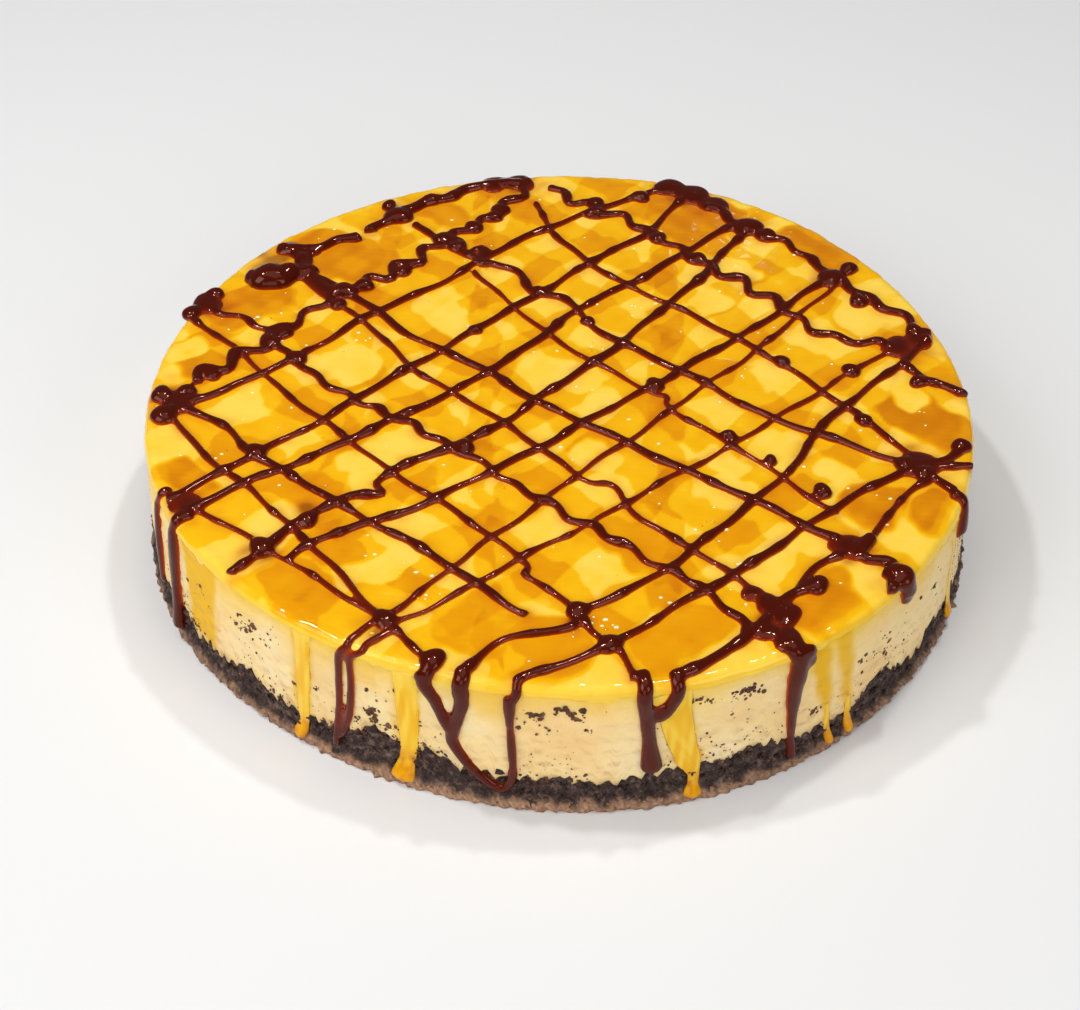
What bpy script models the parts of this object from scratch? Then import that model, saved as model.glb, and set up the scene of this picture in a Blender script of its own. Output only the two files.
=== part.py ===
"""A whole baked cheesecake: a dark crumb crust, and a smooth filling with chocolate drizzled over it.

Z points up, the middle of the flat underside is the origin, and the front is towards -Y.
Sizes below are millimetres and azimuths are degrees, from the front round towards +X.
"""
import math
import random

import bmesh
import bpy
from mathutils import Vector

MM = 0.001
GAP = 0.3

# The cake comes out of a nine-inch ring, and its side spreads a little towards the foot
RADIUS = 118.0
HEIGHT = 42.0
FLARE = 2.0
EDGE_ROUND = 2.4
EDGE_SLANT = EDGE_ROUND * (1 - math.sqrt(0.5))
SIDE_MIDDLE = 25.0
SIDES = 120
# The outline isn't a true circle: waves round it, height of a wave, azimuth of the first crest
LOBES = ((2, 0.4, 78.0), (3, 1.0, 33.0), (5, 0.4, 10.0))

# The crumb crust: its usual height at the side, its height under the filling, and its set-back
CRUST_RIM = 9.6
CRUST_FLOOR = 8.0
CRUST_SHOULDER = 7.0
CRUST_INNER = 20.0
CRUST_SETBACK = 0.9
CRAG = 0.45
CREST = 0.9
# Crumbs pushed up the side: azimuth, height above the usual rim, half width in degrees
MOUNDS = (
    (-61, 1.5, 3), (-46, 3.6, 4), (-24, 7.5, 3), (-17, 4.5, 3), (16, 1.6, 5), (26, 2.4, 5),
    (46, 5.0, 2.5), (61, 3.0, 3), (84, 2.5, 4), (112, 4.0, 3), (139, 2.0, 6), (163, 3.5, 3),
    (-171, 2.5, 5), (-148, 4.5, 3), (-121, 2.0, 5), (-96, 3.0, 4),
)
# The loose crumbs pressed flat under the crust stand out as a low foot, most of all in front
FOOT_HEIGHT = 2.6
FOOT_LEAN = 0.3
FOOT_NECK = 1.4
FOOT_REACH = 0.9
FOOT_FRONT_REACH = 1.1
FOOT_FRONT_AZIMUTH = -6.0
FOOT_FRONT_SPREAD = 24.0

# The drizzle: longest step along a line and along a waved one, how far the middle stands off the
# surface, the width from which a line is round and not a ridge, how much a line's ends swell, how far
# it wanders, and how far a run down the side stays off the crust
STEP = 12.0
WAVED_STEP = 8.0
LIFT = 0.12
ROUND_FROM = 3.4
END_SWELL = 1.2
WANDER = 0.4
CLEAR_OF_CRUST = 0.35
# Each line: its width, the height of its waves, and the bends it was poured through, x and y
RISING_LINES = (
    (4.2, 1.0, ((-66, 76), (-52, 94), (-38, 102), (-28, 110), (-14, 115))),
    (3.4, 2.2, ((-107, 3), (-88, 22), (-67, 49), (-53, 58), (-41, 72), (-30, 84), (-21, 92), (-10, 112))),
    (2.8, 0.0, ((-107, -6), (-97, -1), (-79, 14), (-60, 34), (-38, 53), (-8, 82), (16, 98), (36, 110))),
    (2.8, 0.0, ((-107, -49), (-94, -38), (-68, -14), (-40, 15), (-18, 37), (11, 67), (27, 82), (38, 98))),
    (3.0, 0.0, ((-101, -54), (-86, -42), (-54, -19), (-18, 12), (3, 38), (20, 53), (42, 74), (57, 89))),
    (3.0, 0.0, ((-86, -78), (-74, -62), (-59, -48), (-49, -46), (-50, -39), (-24, -21), (-6, -3), (18, 24),
                (41, 55), (60, 85))),
    (2.8, 0.0, ((-72, -73), (-63, -64), (-35, -48), (-6, -25), (24, 1), (52, 26), (83, 58))),
    (2.0, 0.0, ((-44, -92), (-28, -74), (0, -42), (37, -2), (64, 28), (87, 58))),
    (2.0, 0.0, ((-39, -96), (-27, -84), (-3, -65), (35, -34), (64, -9), (86, 12), (98, 20))),
    (2.8, 0.0, ((-26, -113), (-15, -101), (3, -96), (5, -90), (27, -75), (43, -57), (65, -32), (71, -18),
                (91, 5), (110, 27))),
    (2.8, 0.0, ((-11, -115), (13, -101), (42, -78), (66, -57), (80, -44), (99, -31))),
    (3.4, 0.0, ((28, -113), (43, -102), (57, -86), (66, -80))),
    (2.4, 0.0, ((57, -88), (66, -74), (82, -61), (93, -45), (101, -38))),
)
FALLING_LINES = (
    (2.2, 0.0, ((-112, 34), (-99, 21), (-76, -6), (-47, -36), (-11, -70), (-9, -78), (4, -90), (8, -98),
                (15, -104), (18, -114))),
    (2.8, 0.9, ((-107, 39), (-90, 29), (-77, 12), (-60, -5), (-45, -14), (-20, -35), (13, -63), (37, -82),
                (45, -94))),
    (2.2, 0.0, ((-81, 55), (-60, 33), (-42, 9), (-9, -22), (6, -39), (14, -42), (22, -55), (44, -76),
                (55, -90), (56, -101))),
    (3.0, 0.0, ((-76, 56), (-62, 44), (-47, 28), (-26, 12), (0, -10), (38, -37), (73, -62))),
    (2.8, 0.0, ((-47, 86), (-35, 73), (-23, 64), (-13, 60), (-9, 49), (1, 46), (8, 33), (18, 24), (42, 4),
                (60, -11), (79, -22), (97, -31))),
    (2.0, 0.0, ((-27, 60), (-7, 31), (24, 1), (30, -2), (33, -9), (57, -33), (74, -52))),
    (2.4, 0.0, ((-8, 99), (0, 77), (20, 54), (49, 30), (69, 9), (87, -12), (97, -28))),
    (3.2, 1.8, ((-2, 115), (2, 102), (14, 95), (31, 80), (46, 64), (64, 47), (80, 28), (98, 24))),
    (3.4, 1.2, ((48, 98), (60, 86), (72, 76), (83, 62), (98, 44), (110, 30))),
    (3.2, 1.2, ((98, 18), (107, 8), (114, 3))),
    (2.2, 0.0, ((-112, -11), (-99, -30), (-82, -48), (-69, -63), (-53, -84), (-38, -102), (-32, -110))),
    (2.6, 0.0, ((-103, -10), (-94, -17), (-77, -37), (-38, -67), (-9, -92))),
    (2.0, 0.0, ((-99, -53), (-81, -65), (-62, -81), (-44, -95))),
    (3.0, 0.0, ((97, -31), (106, -26), (112, -20))),
    (3.0, 0.0, ((99, -33), (108, -42))),
    (4.0, 0.8, ((81, -61), (80, -68), (88, -73), (84, -80))),
)
# Where lines start, end and cross, the chocolate stands in drops: x, y, radius, height
DROPS = (
    (-92, 58, 7.0, 5.5), (-82, 68, 6.0, 2.6), (-66, 50, 4.4, 3.0), (-36, 78, 5.0, 3.0), (-52, 93, 6.5, 3.0),
    (11, 95, 4.0, 2.6), (60, 88, 6.0, 2.8), (84, 61, 5.5, 3.0), (-79, -68, 4.0, 2.8), (88, -76, 4.4, 3.4),
)
# Wide thin patches that the lines run together in: x, y, radius, height
PATCHES = (
    (-112, -7, 6.5, 2.0), (-107, 41, 7.0, 2.0), (-17, 112, 7.5, 2.0), (42, 106, 10.0, 2.6),
    (106, 26, 8.0, 1.8), (99, -31, 7.0, 2.0), (76, -65, 6.0, 1.8), (55, -92, 7.0, 2.2), (-103, -51, 6.0, 1.6),
)
# Runs over the edge and down the side: width, where it leaves the top, then azimuth and height
RUNS = (
    (3.2, (-106, -46), ((-67.5, 36), (-68, 22), (-68, 9))),
    (4.4, (-99, -55), ((-61, 36), (-61.5, 20), (-61, 6))),
    (2.6, (-45, -95), ((-26.5, 38), (-28.5, 31), (-28, 20), (-28, 9))),
    (2.2, (-43, -98), ((-25, 40), (-27, 28), (-28, 17))),
    (3.6, (-31, -109), ((-15.5, 38), (-14.5, 29), (-13, 20), (-11, 13), (-8.5, 7.4), (-6.6, 7.2), (-5.6, 14),
                        (-5.6, 30), (-5.3, 39))),
    (3.4, (-24, -112), ((-11.5, 39), (-12.8, 30), (-13, 20))),
    (2.8, (-11, -114), ((-5.2, 40), (-5.6, 30))),
    (3.4, (18, -112), ((9.4, 38), (10.8, 29), (11.4, 14))),
    (3.4, (28, -111), ((14, 39), (12.4, 30), (11.4, 22))),
    (4.4, (56, -101), ((29.4, 38), (30.4, 29), (30, 17), (30, 6))),
    (5.0, (86, -78), ((47.5, 41), (50.5, 35))),
    (4.4, (107, -43), ((67.5, 39), (67, 32))),
)
RUN_STEP = 10.0
# A run starts to leave the filling this far above the crust, and has left it by the second height
RUN_START = 0.7
RUN_END = 0.8
LEAVE_FROM = 4.0
LEAVE_BY = 1.0


def around(azimuth, radius, z):
    """The point at an azimuth, a distance from the middle and a height."""
    turn = math.radians(azimuth)
    return Vector((radius * math.sin(turn), -radius * math.cos(turn), z))


def outline(azimuth):
    """How far the top edge is from the middle."""
    waves = (height * math.cos(math.radians(count * (azimuth - crest))) for count, height, crest in LOBES)
    return RADIUS + sum(waves)


def side(azimuth, z):
    """How far the filling's side is from the middle at a height, spreading towards the foot."""
    return outline(azimuth) + FLARE * (1 - z / HEIGHT)


def apart(azimuth, other):
    """The angle between two azimuths."""
    return abs((azimuth - other + 180) % 360 - 180)


def crust_shoulder(azimuth):
    """Height of the crust a little way in from the side, half way down to its floor."""
    return 0.5 * (crust_rim(azimuth) + CRUST_FLOOR)


def crust_rim(azimuth):
    """Height of the crust at the side, raised where crumbs were pushed up."""
    mounds = (height * math.exp(-(apart(azimuth, middle) / width) ** 2) for middle, height, width in MOUNDS)
    return CRUST_RIM + sum(mounds)


def foot_reach(azimuth):
    """How far the pressed crumbs stand out beyond the side."""
    front = math.exp(-(apart(azimuth, FOOT_FRONT_AZIMUTH) / FOOT_FRONT_SPREAD) ** 2)
    return FOOT_REACH + FOOT_FRONT_REACH * front


def crumbled_edge():
    """The crust's uneven top edge, which the filling follows: one radius and height for each azimuth."""
    crumbs = random.Random(11)
    edge = []
    for step in range(SIDES):
        azimuth = 360 * step / SIDES
        z = crust_rim(azimuth) + crumbs.uniform(-CREST, CREST)
        radius = side(azimuth, z) - CRUST_SETBACK + crumbs.uniform(-CRAG, CRAG)
        edge.append((radius, z))
    return edge


def skin(rings):
    """A closed body through level rings, with a flat face inside the first and inside the last."""
    bm = bmesh.new()
    bmesh.ops.create_circle(bm, segments=SIDES, radius=1.0, cap_ends=True)
    bm.verts.ensure_lookup_table()
    ring = list(bm.verts)
    ring.sort(key=lambda vert: math.atan2(vert.co.x, -vert.co.y) % math.tau)
    edges = list(bm.edges)
    for number, places in enumerate(rings):
        if number:
            grown = bmesh.ops.extrude_edge_only(bm, edges=edges)["geom"]
            new = {item for item in grown if isinstance(item, bmesh.types.BMVert)}
            ring = [next(edge.other_vert(vert) for edge in vert.link_edges if edge.other_vert(vert) in new)
                    for vert in ring]
            edges = [item for item in grown if isinstance(item, bmesh.types.BMEdge)]
        for vert, place in zip(ring, places):
            vert.co = place * MM
    bmesh.ops.contextual_create(bm, geom=edges)
    bmesh.ops.recalc_face_normals(bm, faces=bm.faces)
    # Each quad is cut along its shorter diagonal, so that the crust and the filling fold alike
    quads = [face for face in bm.faces if len(face.verts) == 4]
    bmesh.ops.triangulate(bm, faces=quads, quad_method="SHORT_EDGE")
    return bm


def ring_at(radius, z):
    """A ring whose radius and height follow from the azimuth."""
    azimuths = (360 * step / SIDES for step in range(SIDES))
    return [around(azimuth, radius(azimuth), z(azimuth)) for azimuth in azimuths]


def ring_along(edge, outward=0.0, upward=0.0):
    """A ring along the crumbled edge, moved outward and upward."""
    return [around(360 * step / SIDES, radius + outward, z + upward) for step, (radius, z) in enumerate(edge)]


def material(name, colour, roughness):
    """A Principled material of one colour."""
    made = bpy.data.materials.new(name)
    made.use_nodes = True
    shader = made.node_tree.nodes["Principled BSDF"]
    shader.inputs["Base Color"].default_value = (*colour, 1.0)
    shader.inputs["Roughness"].default_value = roughness
    shader.inputs["Metallic"].default_value = 0.0
    return made


def add_object(name, mesh, finish, collection=None):
    """Link a mesh as a named object with its material."""
    thing = bpy.data.objects.new(name, mesh)
    if not mesh.materials:
        mesh.materials.append(finish)
    (collection or bpy.context.scene.collection).objects.link(thing)
    return thing


def mesh_of(bm, name):
    """Turn a bmesh into a mesh."""
    mesh = bpy.data.meshes.new(name)
    bm.to_mesh(mesh)
    bm.free()
    return mesh


def make_crust(edge, finish):
    """The crumb crust: a flat disc with a foot, a craggy side and a broken top edge."""
    crumbs = random.Random(23)

    def rough(reach, z):
        ring = []
        for step in range(SIDES):
            azimuth = 360 * step / SIDES
            height = z(azimuth)
            ring.append(around(azimuth, side(azimuth, height) + reach(azimuth) + crumbs.uniform(-CRAG, CRAG),
                               height))
        return ring

    rings = [
        rough(foot_reach, lambda azimuth: 0.0),
        rough(lambda azimuth: foot_reach(azimuth) - FOOT_LEAN, lambda azimuth: FOOT_HEIGHT),
        rough(lambda azimuth: -CRUST_SETBACK, lambda azimuth: FOOT_HEIGHT + FOOT_NECK),
        ring_along(edge),
        ring_at(lambda azimuth: RADIUS - CRUST_SHOULDER, crust_shoulder),
        ring_at(lambda azimuth: RADIUS - CRUST_INNER, lambda azimuth: CRUST_FLOOR),
    ]
    return add_object("crust", mesh_of(skin(rings), "crust"), finish)


def make_filling_body(edge, finish):
    """The filling without its drizzle: it sits on the crust and has a rounded top edge."""
    rings = [
        ring_at(lambda azimuth: RADIUS - CRUST_INNER, lambda azimuth: CRUST_FLOOR + GAP),
        ring_at(lambda azimuth: RADIUS - CRUST_SHOULDER, lambda azimuth: crust_shoulder(azimuth) + GAP),
        ring_along(edge, 0.0, GAP),
        ring_along(edge, CRUST_SETBACK, 2 * GAP),
        ring_at(lambda azimuth: side(azimuth, SIDE_MIDDLE), lambda azimuth: SIDE_MIDDLE),
        ring_at(outline, lambda azimuth: HEIGHT - EDGE_ROUND),
        ring_at(lambda azimuth: outline(azimuth) - EDGE_SLANT, lambda azimuth: HEIGHT - EDGE_SLANT),
        ring_at(lambda azimuth: outline(azimuth) - EDGE_ROUND, lambda azimuth: HEIGHT),
    ]
    return add_object("filling", mesh_of(skin(rings), "filling"), finish)


def smooth_route(bends, step):
    """Points along a smooth curve through the bends, no more than a step apart."""
    route = []
    padded = [bends[0], *bends, bends[-1]]
    for before, start, end, after in zip(padded, padded[1:], padded[2:], padded[3:]):
        pieces = max(1, math.ceil((end - start).length / step))
        for number in range(pieces):
            part = number / pieces
            curve = (2 * start + (end - before) * part
                     + (2 * before - 5 * start + 4 * end - after) * part ** 2
                     + (3 * start - before - 3 * end + after) * part ** 3)
            route.append(0.5 * curve)
    route.append(bends[-1].copy())
    return route


def waved(route, height, hand):
    """A route thrown from side to side, as when the pour was shaken, and never twice alike."""
    moved = [route[0]]
    for number in range(1, len(route) - 1):
        along = (route[number + 1] - route[number - 1]).normalized()
        across = along.cross(Vector((0, 0, 1)))
        throw = height * hand.uniform(0.6, 1.3) * (1 if number % 2 else -1)
        moved.append(route[number] + across * (throw + hand.uniform(-WANDER, WANDER)))
    moved.append(route[-1])
    return moved


def tube(name, route, widths, finish, collection):
    """A tube along a route, with a width at each point, closed ends, and four or six sides."""
    data = bpy.data.curves.new(name, "CURVE")
    data.dimensions = "3D"
    data.twist_mode = "Z_UP"
    data.bevel_depth = 0.5 * MM
    data.bevel_resolution = 1 if max(widths) >= ROUND_FROM else 0
    data.use_fill_caps = True
    spline = data.splines.new("POLY")
    spline.points.add(len(route) - 1)
    for point, place, width in zip(spline.points, route, widths):
        point.co = (*(place * MM), 1.0)
        point.radius = width
    guide = bpy.data.objects.new(name, data)
    bpy.context.scene.collection.objects.link(guide)
    bpy.context.view_layer.update()
    mesh = bpy.data.meshes.new_from_object(guide.evaluated_get(bpy.context.evaluated_depsgraph_get()))
    bpy.data.objects.remove(guide)
    mesh.materials.clear()
    bm = bmesh.new()
    bm.from_mesh(mesh)
    bmesh.ops.remove_doubles(bm, verts=bm.verts, dist=0.00001)
    bmesh.ops.recalc_face_normals(bm, faces=bm.faces)
    bm.to_mesh(mesh)
    bm.free()
    return add_object(name, mesh, finish, collection)


def add_lines(finish, collection):
    """The crossing lines poured over the top."""
    hand = random.Random(5)
    for number, (width, wave, bends) in enumerate(RISING_LINES + FALLING_LINES):
        corners = [Vector((x, y, HEIGHT + LIFT)) for x, y in bends]
        route = waved(smooth_route(corners, WAVED_STEP if wave else STEP), wave, hand)
        widths = [width] * len(route)
        widths[0] = END_SWELL * width
        widths[-1] = END_SWELL * width
        tube(f"line_{number}", route, widths, finish, collection)


def add_drops(finish, collection):
    """Drops and patches of chocolate standing on the top."""
    for number, (x, y, radius, height) in enumerate(DROPS + PATCHES):
        bm = bmesh.new()
        bmesh.ops.create_uvsphere(bm, u_segments=8, v_segments=4, radius=1.0)
        bmesh.ops.scale(bm, vec=(radius * MM, radius * MM, height * MM), verts=bm.verts)
        bmesh.ops.translate(bm, vec=Vector((x, y, HEIGHT + LIFT)) * MM, verts=bm.verts)
        add_object(f"drop_{number}", mesh_of(bm, "drop"), finish, collection)


def run_place(azimuth, z, width):
    """A point of a run on the side: half sunk in the filling, and clear of the crust lower down."""
    above_crust = z - crust_rim(azimuth) - CREST
    share = min(1.0, max(0.0, (LEAVE_FROM - above_crust) / (LEAVE_FROM - LEAVE_BY)))
    clear = 0.5 * width + CRAG + CLEAR_OF_CRUST - CRUST_SETBACK
    return around(azimuth, side(azimuth, z) + LIFT + (clear - LIFT) * share, z)


def add_runs(finish, collection):
    """Chocolate that ran over the edge and down the side."""
    for number, (width, (x, y), stations) in enumerate(RUNS):
        start = Vector((x, y, HEIGHT + LIFT))
        azimuth = math.degrees(math.atan2(x, -y))
        first = stations[0][0]
        over = 0.5 * (azimuth + first)
        bends = [
            start,
            around(over, outline(over) - EDGE_ROUND, HEIGHT + LIFT),
            around(over, outline(over) - EDGE_SLANT + LIFT, HEIGHT - EDGE_SLANT + LIFT),
        ]
        bends += [run_place(place, z, width) for place, z in stations]
        route = smooth_route(bends, RUN_STEP)
        widths = [width] * len(route)
        widths[0] = RUN_START * width
        widths[-1] = RUN_END * width
        tube(f"run_{number}", route, widths, finish, collection)


def fuse(body, collection):
    """Join everything in the collection to the body, and take the loose pieces away."""
    union = body.modifiers.new("drizzle", "BOOLEAN")
    union.operation = "UNION"
    union.operand_type = "COLLECTION"
    union.collection = collection
    union.solver = "MANIFOLD"
    union.material_mode = "TRANSFER"
    bpy.context.view_layer.update()
    joined = bpy.data.meshes.new_from_object(body.evaluated_get(bpy.context.evaluated_depsgraph_get()))
    body.modifiers.clear()
    body.data = joined
    for thing in list(collection.objects):
        bpy.data.objects.remove(thing)
    bpy.data.collections.remove(collection)


def main():
    for thing in list(bpy.data.objects):
        bpy.data.objects.remove(thing)
    crumb = material("dark_crumb", (0.045, 0.026, 0.024), 0.85)
    cream = material("cream_filling", (0.86, 0.68, 0.38), 0.45)
    chocolate = material("chocolate", (0.05, 0.012, 0.006), 0.18)
    edge = crumbled_edge()
    make_crust(edge, crumb)
    filling = make_filling_body(edge, cream)
    drizzle = bpy.data.collections.new("drizzle")
    bpy.context.scene.collection.children.link(drizzle)
    add_lines(chocolate, drizzle)
    add_drops(chocolate, drizzle)
    add_runs(chocolate, drizzle)
    fuse(filling, drizzle)


main()
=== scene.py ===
# %% [markdown]
# # Dressing a baked cheesecake
# The cake is a disc of cream cheese filling on a dark crumb crust. Warm caramel was spooned over the top
# first: it lies pale where it is thin and deep orange where it pooled. Dark chocolate was then poured across
# in two directions, and some of it ran down the side.
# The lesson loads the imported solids, which fix every size, and then makes each visible surface in turn.

# %% Load the solids
import math
import random

import bmesh
import bpy
import numpy as np
from mathutils import Matrix, Vector
from mathutils.kdtree import KDTree


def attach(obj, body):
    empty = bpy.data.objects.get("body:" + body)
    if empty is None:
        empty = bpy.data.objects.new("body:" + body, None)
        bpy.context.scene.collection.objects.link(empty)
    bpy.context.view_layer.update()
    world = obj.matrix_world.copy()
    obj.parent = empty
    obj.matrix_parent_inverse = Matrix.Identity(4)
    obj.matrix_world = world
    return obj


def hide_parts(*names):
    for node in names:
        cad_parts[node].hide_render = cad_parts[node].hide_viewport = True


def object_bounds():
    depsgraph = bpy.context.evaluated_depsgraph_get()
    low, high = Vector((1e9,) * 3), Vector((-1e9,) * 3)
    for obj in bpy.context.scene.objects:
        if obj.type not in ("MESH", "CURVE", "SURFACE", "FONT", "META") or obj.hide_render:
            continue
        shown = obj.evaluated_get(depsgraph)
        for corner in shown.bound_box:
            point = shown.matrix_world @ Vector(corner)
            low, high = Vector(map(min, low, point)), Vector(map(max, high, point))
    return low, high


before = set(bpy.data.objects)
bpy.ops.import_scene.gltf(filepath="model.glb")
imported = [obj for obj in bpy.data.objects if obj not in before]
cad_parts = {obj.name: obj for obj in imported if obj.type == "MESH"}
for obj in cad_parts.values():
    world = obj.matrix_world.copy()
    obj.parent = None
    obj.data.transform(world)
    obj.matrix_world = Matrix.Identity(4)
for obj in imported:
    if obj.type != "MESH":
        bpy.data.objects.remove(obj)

SOLID_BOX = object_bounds()
print("solids:", sorted(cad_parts), [tuple(round(v, 4) for v in corner) for corner in SOLID_BOX])

# %% [markdown]
# ## The cake's sizes
# Sizes are millimetres, as on a baker's ruler, and azimuths are degrees from the front round towards +X.
# The filling's top edge isn't a true circle, so every piece asks the same small functions where the side is.

# %% Sizes and the outline
MM = 0.001
RADIUS = 118.0
HEIGHT = 42.0
FLARE = 2.0
EDGE_ROUND = 2.4
# Waves of the outline: how many go round, their height, the azimuth of a crest
LOBES = ((2, 0.4, 78.0), (3, 1.0, 33.0), (5, 0.4, 10.0))
CRUST_RIM = 9.6
# Mounds of crumbs pushed up the side: azimuth, height, width in degrees
MOUNDS = (
    (-61, 1.5, 3), (-46, 3.6, 4), (-24, 7.5, 3), (-17, 4.5, 3), (16, 1.6, 5), (26, 2.4, 5),
    (46, 5.0, 2.5), (61, 3.0, 3), (84, 2.5, 4), (112, 4.0, 3), (139, 2.0, 6), (163, 3.5, 3),
    (-171, 2.5, 5), (-148, 4.5, 3), (-121, 2.0, 5), (-96, 3.0, 4),
)
FOOT_REACH = 0.7
FOOT_FRONT_REACH = 1.1
FOOT_FRONT_AZIMUTH = -6.0
FOOT_FRONT_SPREAD = 24.0


def outline(azimuth):
    """How far the top edge is from the middle; works on one azimuth or on many."""
    waves = (height * np.cos(np.radians(count * (azimuth - crest))) for count, height, crest in LOBES)
    return RADIUS + sum(waves)


def side(azimuth, z):
    """How far the filling's side is from the middle at a height."""
    return outline(azimuth) + FLARE * (1 - z / HEIGHT)


def apart(azimuth, other):
    """The angle between two azimuths."""
    return np.abs((azimuth - other + 180) % 360 - 180)


def crust_rim(azimuth):
    """Height of the crust at the side, raised where crumbs were pushed up."""
    mounds = (height * np.exp(-(apart(azimuth, middle) / width) ** 2) for middle, height, width in MOUNDS)
    return CRUST_RIM + sum(mounds)


def foot_reach(azimuth):
    """How far the pressed crumbs stand out beyond the side."""
    front = np.exp(-(apart(azimuth, FOOT_FRONT_AZIMUTH) / FOOT_FRONT_SPREAD) ** 2)
    return FOOT_REACH + FOOT_FRONT_REACH * front


def around(azimuth, radius, z):
    """The point at an azimuth, a distance from the middle and a height, in metres."""
    turn = math.radians(azimuth)
    return Vector((radius * math.sin(turn), -radius * math.cos(turn), z)) * MM


def foot_flare(azimuth, z):
    """How far the foot stands out at a height: all of it low down, nothing above it."""
    return foot_reach(azimuth) * np.clip((4.6 - z) / 2.2, 0, 1)


def near_front(azimuth):
    """1 at the front, falling to 0 at the back."""
    return np.exp(-(apart(azimuth, FOOT_FRONT_AZIMUTH) / 45.0) ** 2)


def azimuth_of(x, y):
    """The azimuth of a point, or of many."""
    return np.degrees(np.arctan2(x, -y))


def along_side(azimuth):
    """The distance along the side from the front to an azimuth."""
    return np.radians(azimuth) * RADIUS


print("top edge across, mm:", round(2 * float(outline(np.arange(360.0)).mean()), 1))

# %% [markdown]
# ## Unevenness that comes out the same each time
# Food is never regular, but a scene has to be. `uneven` adds up a few seeded waves of about one length, which
# gives a smooth hand-made wobble over a surface, and `step` turns a distance into a soft-edged yes or no.
# A mesh's vertices are read and written back as one array, because that is far quicker than one by one.

# %% Seeded unevenness
def uneven(x, y, length, seed, waves=9):
    """A smooth field, mostly between -1 and 1, whose hills are about one length apart."""
    hand = random.Random(seed)
    total = 0.0
    for _ in range(waves):
        turn = hand.uniform(0, math.tau)
        start = hand.uniform(0, math.tau)
        stretch = math.tau / (length * hand.uniform(0.7, 1.4))
        total = total + np.sin((x * math.cos(turn) + y * math.sin(turn)) * stretch + start)
    return total / math.sqrt(waves)


def step(distance, softness=0.6):
    """0 well outside, 1 well inside, and a smooth slope as wide as the softness on both sides of 0."""
    share = np.clip(distance / softness * 0.5 + 0.5, 0, 1)
    return share * share * (3 - 2 * share)


def places(mesh):
    """A mesh's vertices in millimetres, as one array of x, y, z rows."""
    flat = np.zeros(len(mesh.vertices) * 3, np.float32)
    mesh.vertices.foreach_get("co", flat)
    return flat.reshape(-1, 3).astype(float) / MM


def put_places(mesh, spots):
    """Write the vertices back from millimetres."""
    mesh.vertices.foreach_set("co", (spots * MM).astype(np.float32).ravel())
    mesh.update()


def put_values(mesh, name, values):
    """Store one number for each vertex, which a material can read by its name."""
    layer = mesh.attributes.new(name, "FLOAT", "POINT")
    layer.data.foreach_set("value", np.asarray(values, np.float32))


field = uneven(np.arange(200.0), 0.0, 10, 1)
print("an uneven field runs from", round(float(field.min()), 2), "to", round(float(field.max()), 2))

# %% [markdown]
# ## Camera
# The photo was taken from about an arm's length, a little more than 40 degrees above the table. The camera
# is placed from that distance and angle, and it is turned by a hair because the photo leans.

# %% Camera
EYE_ABOVE = math.radians(41.575)
EYE_DISTANCE = 0.5914
EYE_SHIFT = Vector((-0.00586, -0.00209, 0.0))
EYE_ROLL = 0.0114
LENS = 65.11

back = Vector((0, -math.cos(EYE_ABOVE), math.sin(EYE_ABOVE)))
right = Vector((1, 0, 0))
up = back.cross(right)
leaning_right = math.cos(EYE_ROLL) * right + math.sin(EYE_ROLL) * up
leaning_up = -math.sin(EYE_ROLL) * right + math.cos(EYE_ROLL) * up
camera_data = bpy.data.cameras.new("camera")
camera_data.lens = LENS
camera_data.clip_start = 0.01
camera = bpy.data.objects.new("camera", camera_data)
turned = Matrix((leaning_right, leaning_up, back)).transposed().to_4x4()
camera.matrix_world = Matrix.Translation(back * EYE_DISTANCE + EYE_SHIFT) @ turned
bpy.context.scene.collection.objects.link(camera)
bpy.context.scene.camera = camera
print("camera at", tuple(round(v, 3) for v in camera.location))

# %% [markdown]
# ## Small helpers for materials
# Colours are written as the eye sees them, 0 to 255, and turned into the linear values that shaders use.
# Anything that is the same all over a surface is set on the Principled shader itself.

# %% Material helpers
def seen(red, green, blue):
    """A colour as seen on a screen, as the linear red, green, blue and alpha of a shader."""
    linear = [v / 255 / 12.92 if v < 11 else ((v / 255 + 0.055) / 1.055) ** 2.4 for v in (red, green, blue)]
    return (*linear, 1.0)


def new_material(name, **all_over):
    """A Principled material with values that are the same all over, and its nodes, links and shader."""
    made = bpy.data.materials.new(name)
    made.use_nodes = True
    tree = made.node_tree
    shader = tree.nodes["Principled BSDF"]
    for socket, value in all_over.items():
        shader.inputs[socket.replace("_", " ")].default_value = value
    return made, tree, shader


def add_node(tree, kind, **settings):
    """Add a node and set its properties; a name with in_ before it is an input's number."""
    node = tree.nodes.new(kind)
    for name, value in settings.items():
        if name.startswith("in_"):
            node.inputs[int(name[3:])].default_value = value
        else:
            setattr(node, name, value)
    return node


def ramp(tree, factor, stops):
    """A colour ramp on a factor, with a colour at each position."""
    node = add_node(tree, "ShaderNodeValToRGB")
    while len(node.color_ramp.elements) < len(stops):
        node.color_ramp.elements.new(0.5)
    for element, (position, colour) in zip(node.color_ramp.elements, stops):
        element.position = position
        element.color = colour
    tree.links.new(factor, node.inputs["Fac"])
    return node.outputs["Color"]


def blend(tree, share, first, second):
    """Mix two colours by a share; a colour may be a value or a socket."""
    node = add_node(tree, "ShaderNodeMix", data_type="RGBA")
    for socket, value in ((node.inputs[0], share), (node.inputs[6], first), (node.inputs[7], second)):
        if isinstance(value, bpy.types.NodeSocket):
            tree.links.new(value, socket)
        else:
            socket.default_value = value
    return node.outputs[2]


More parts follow.
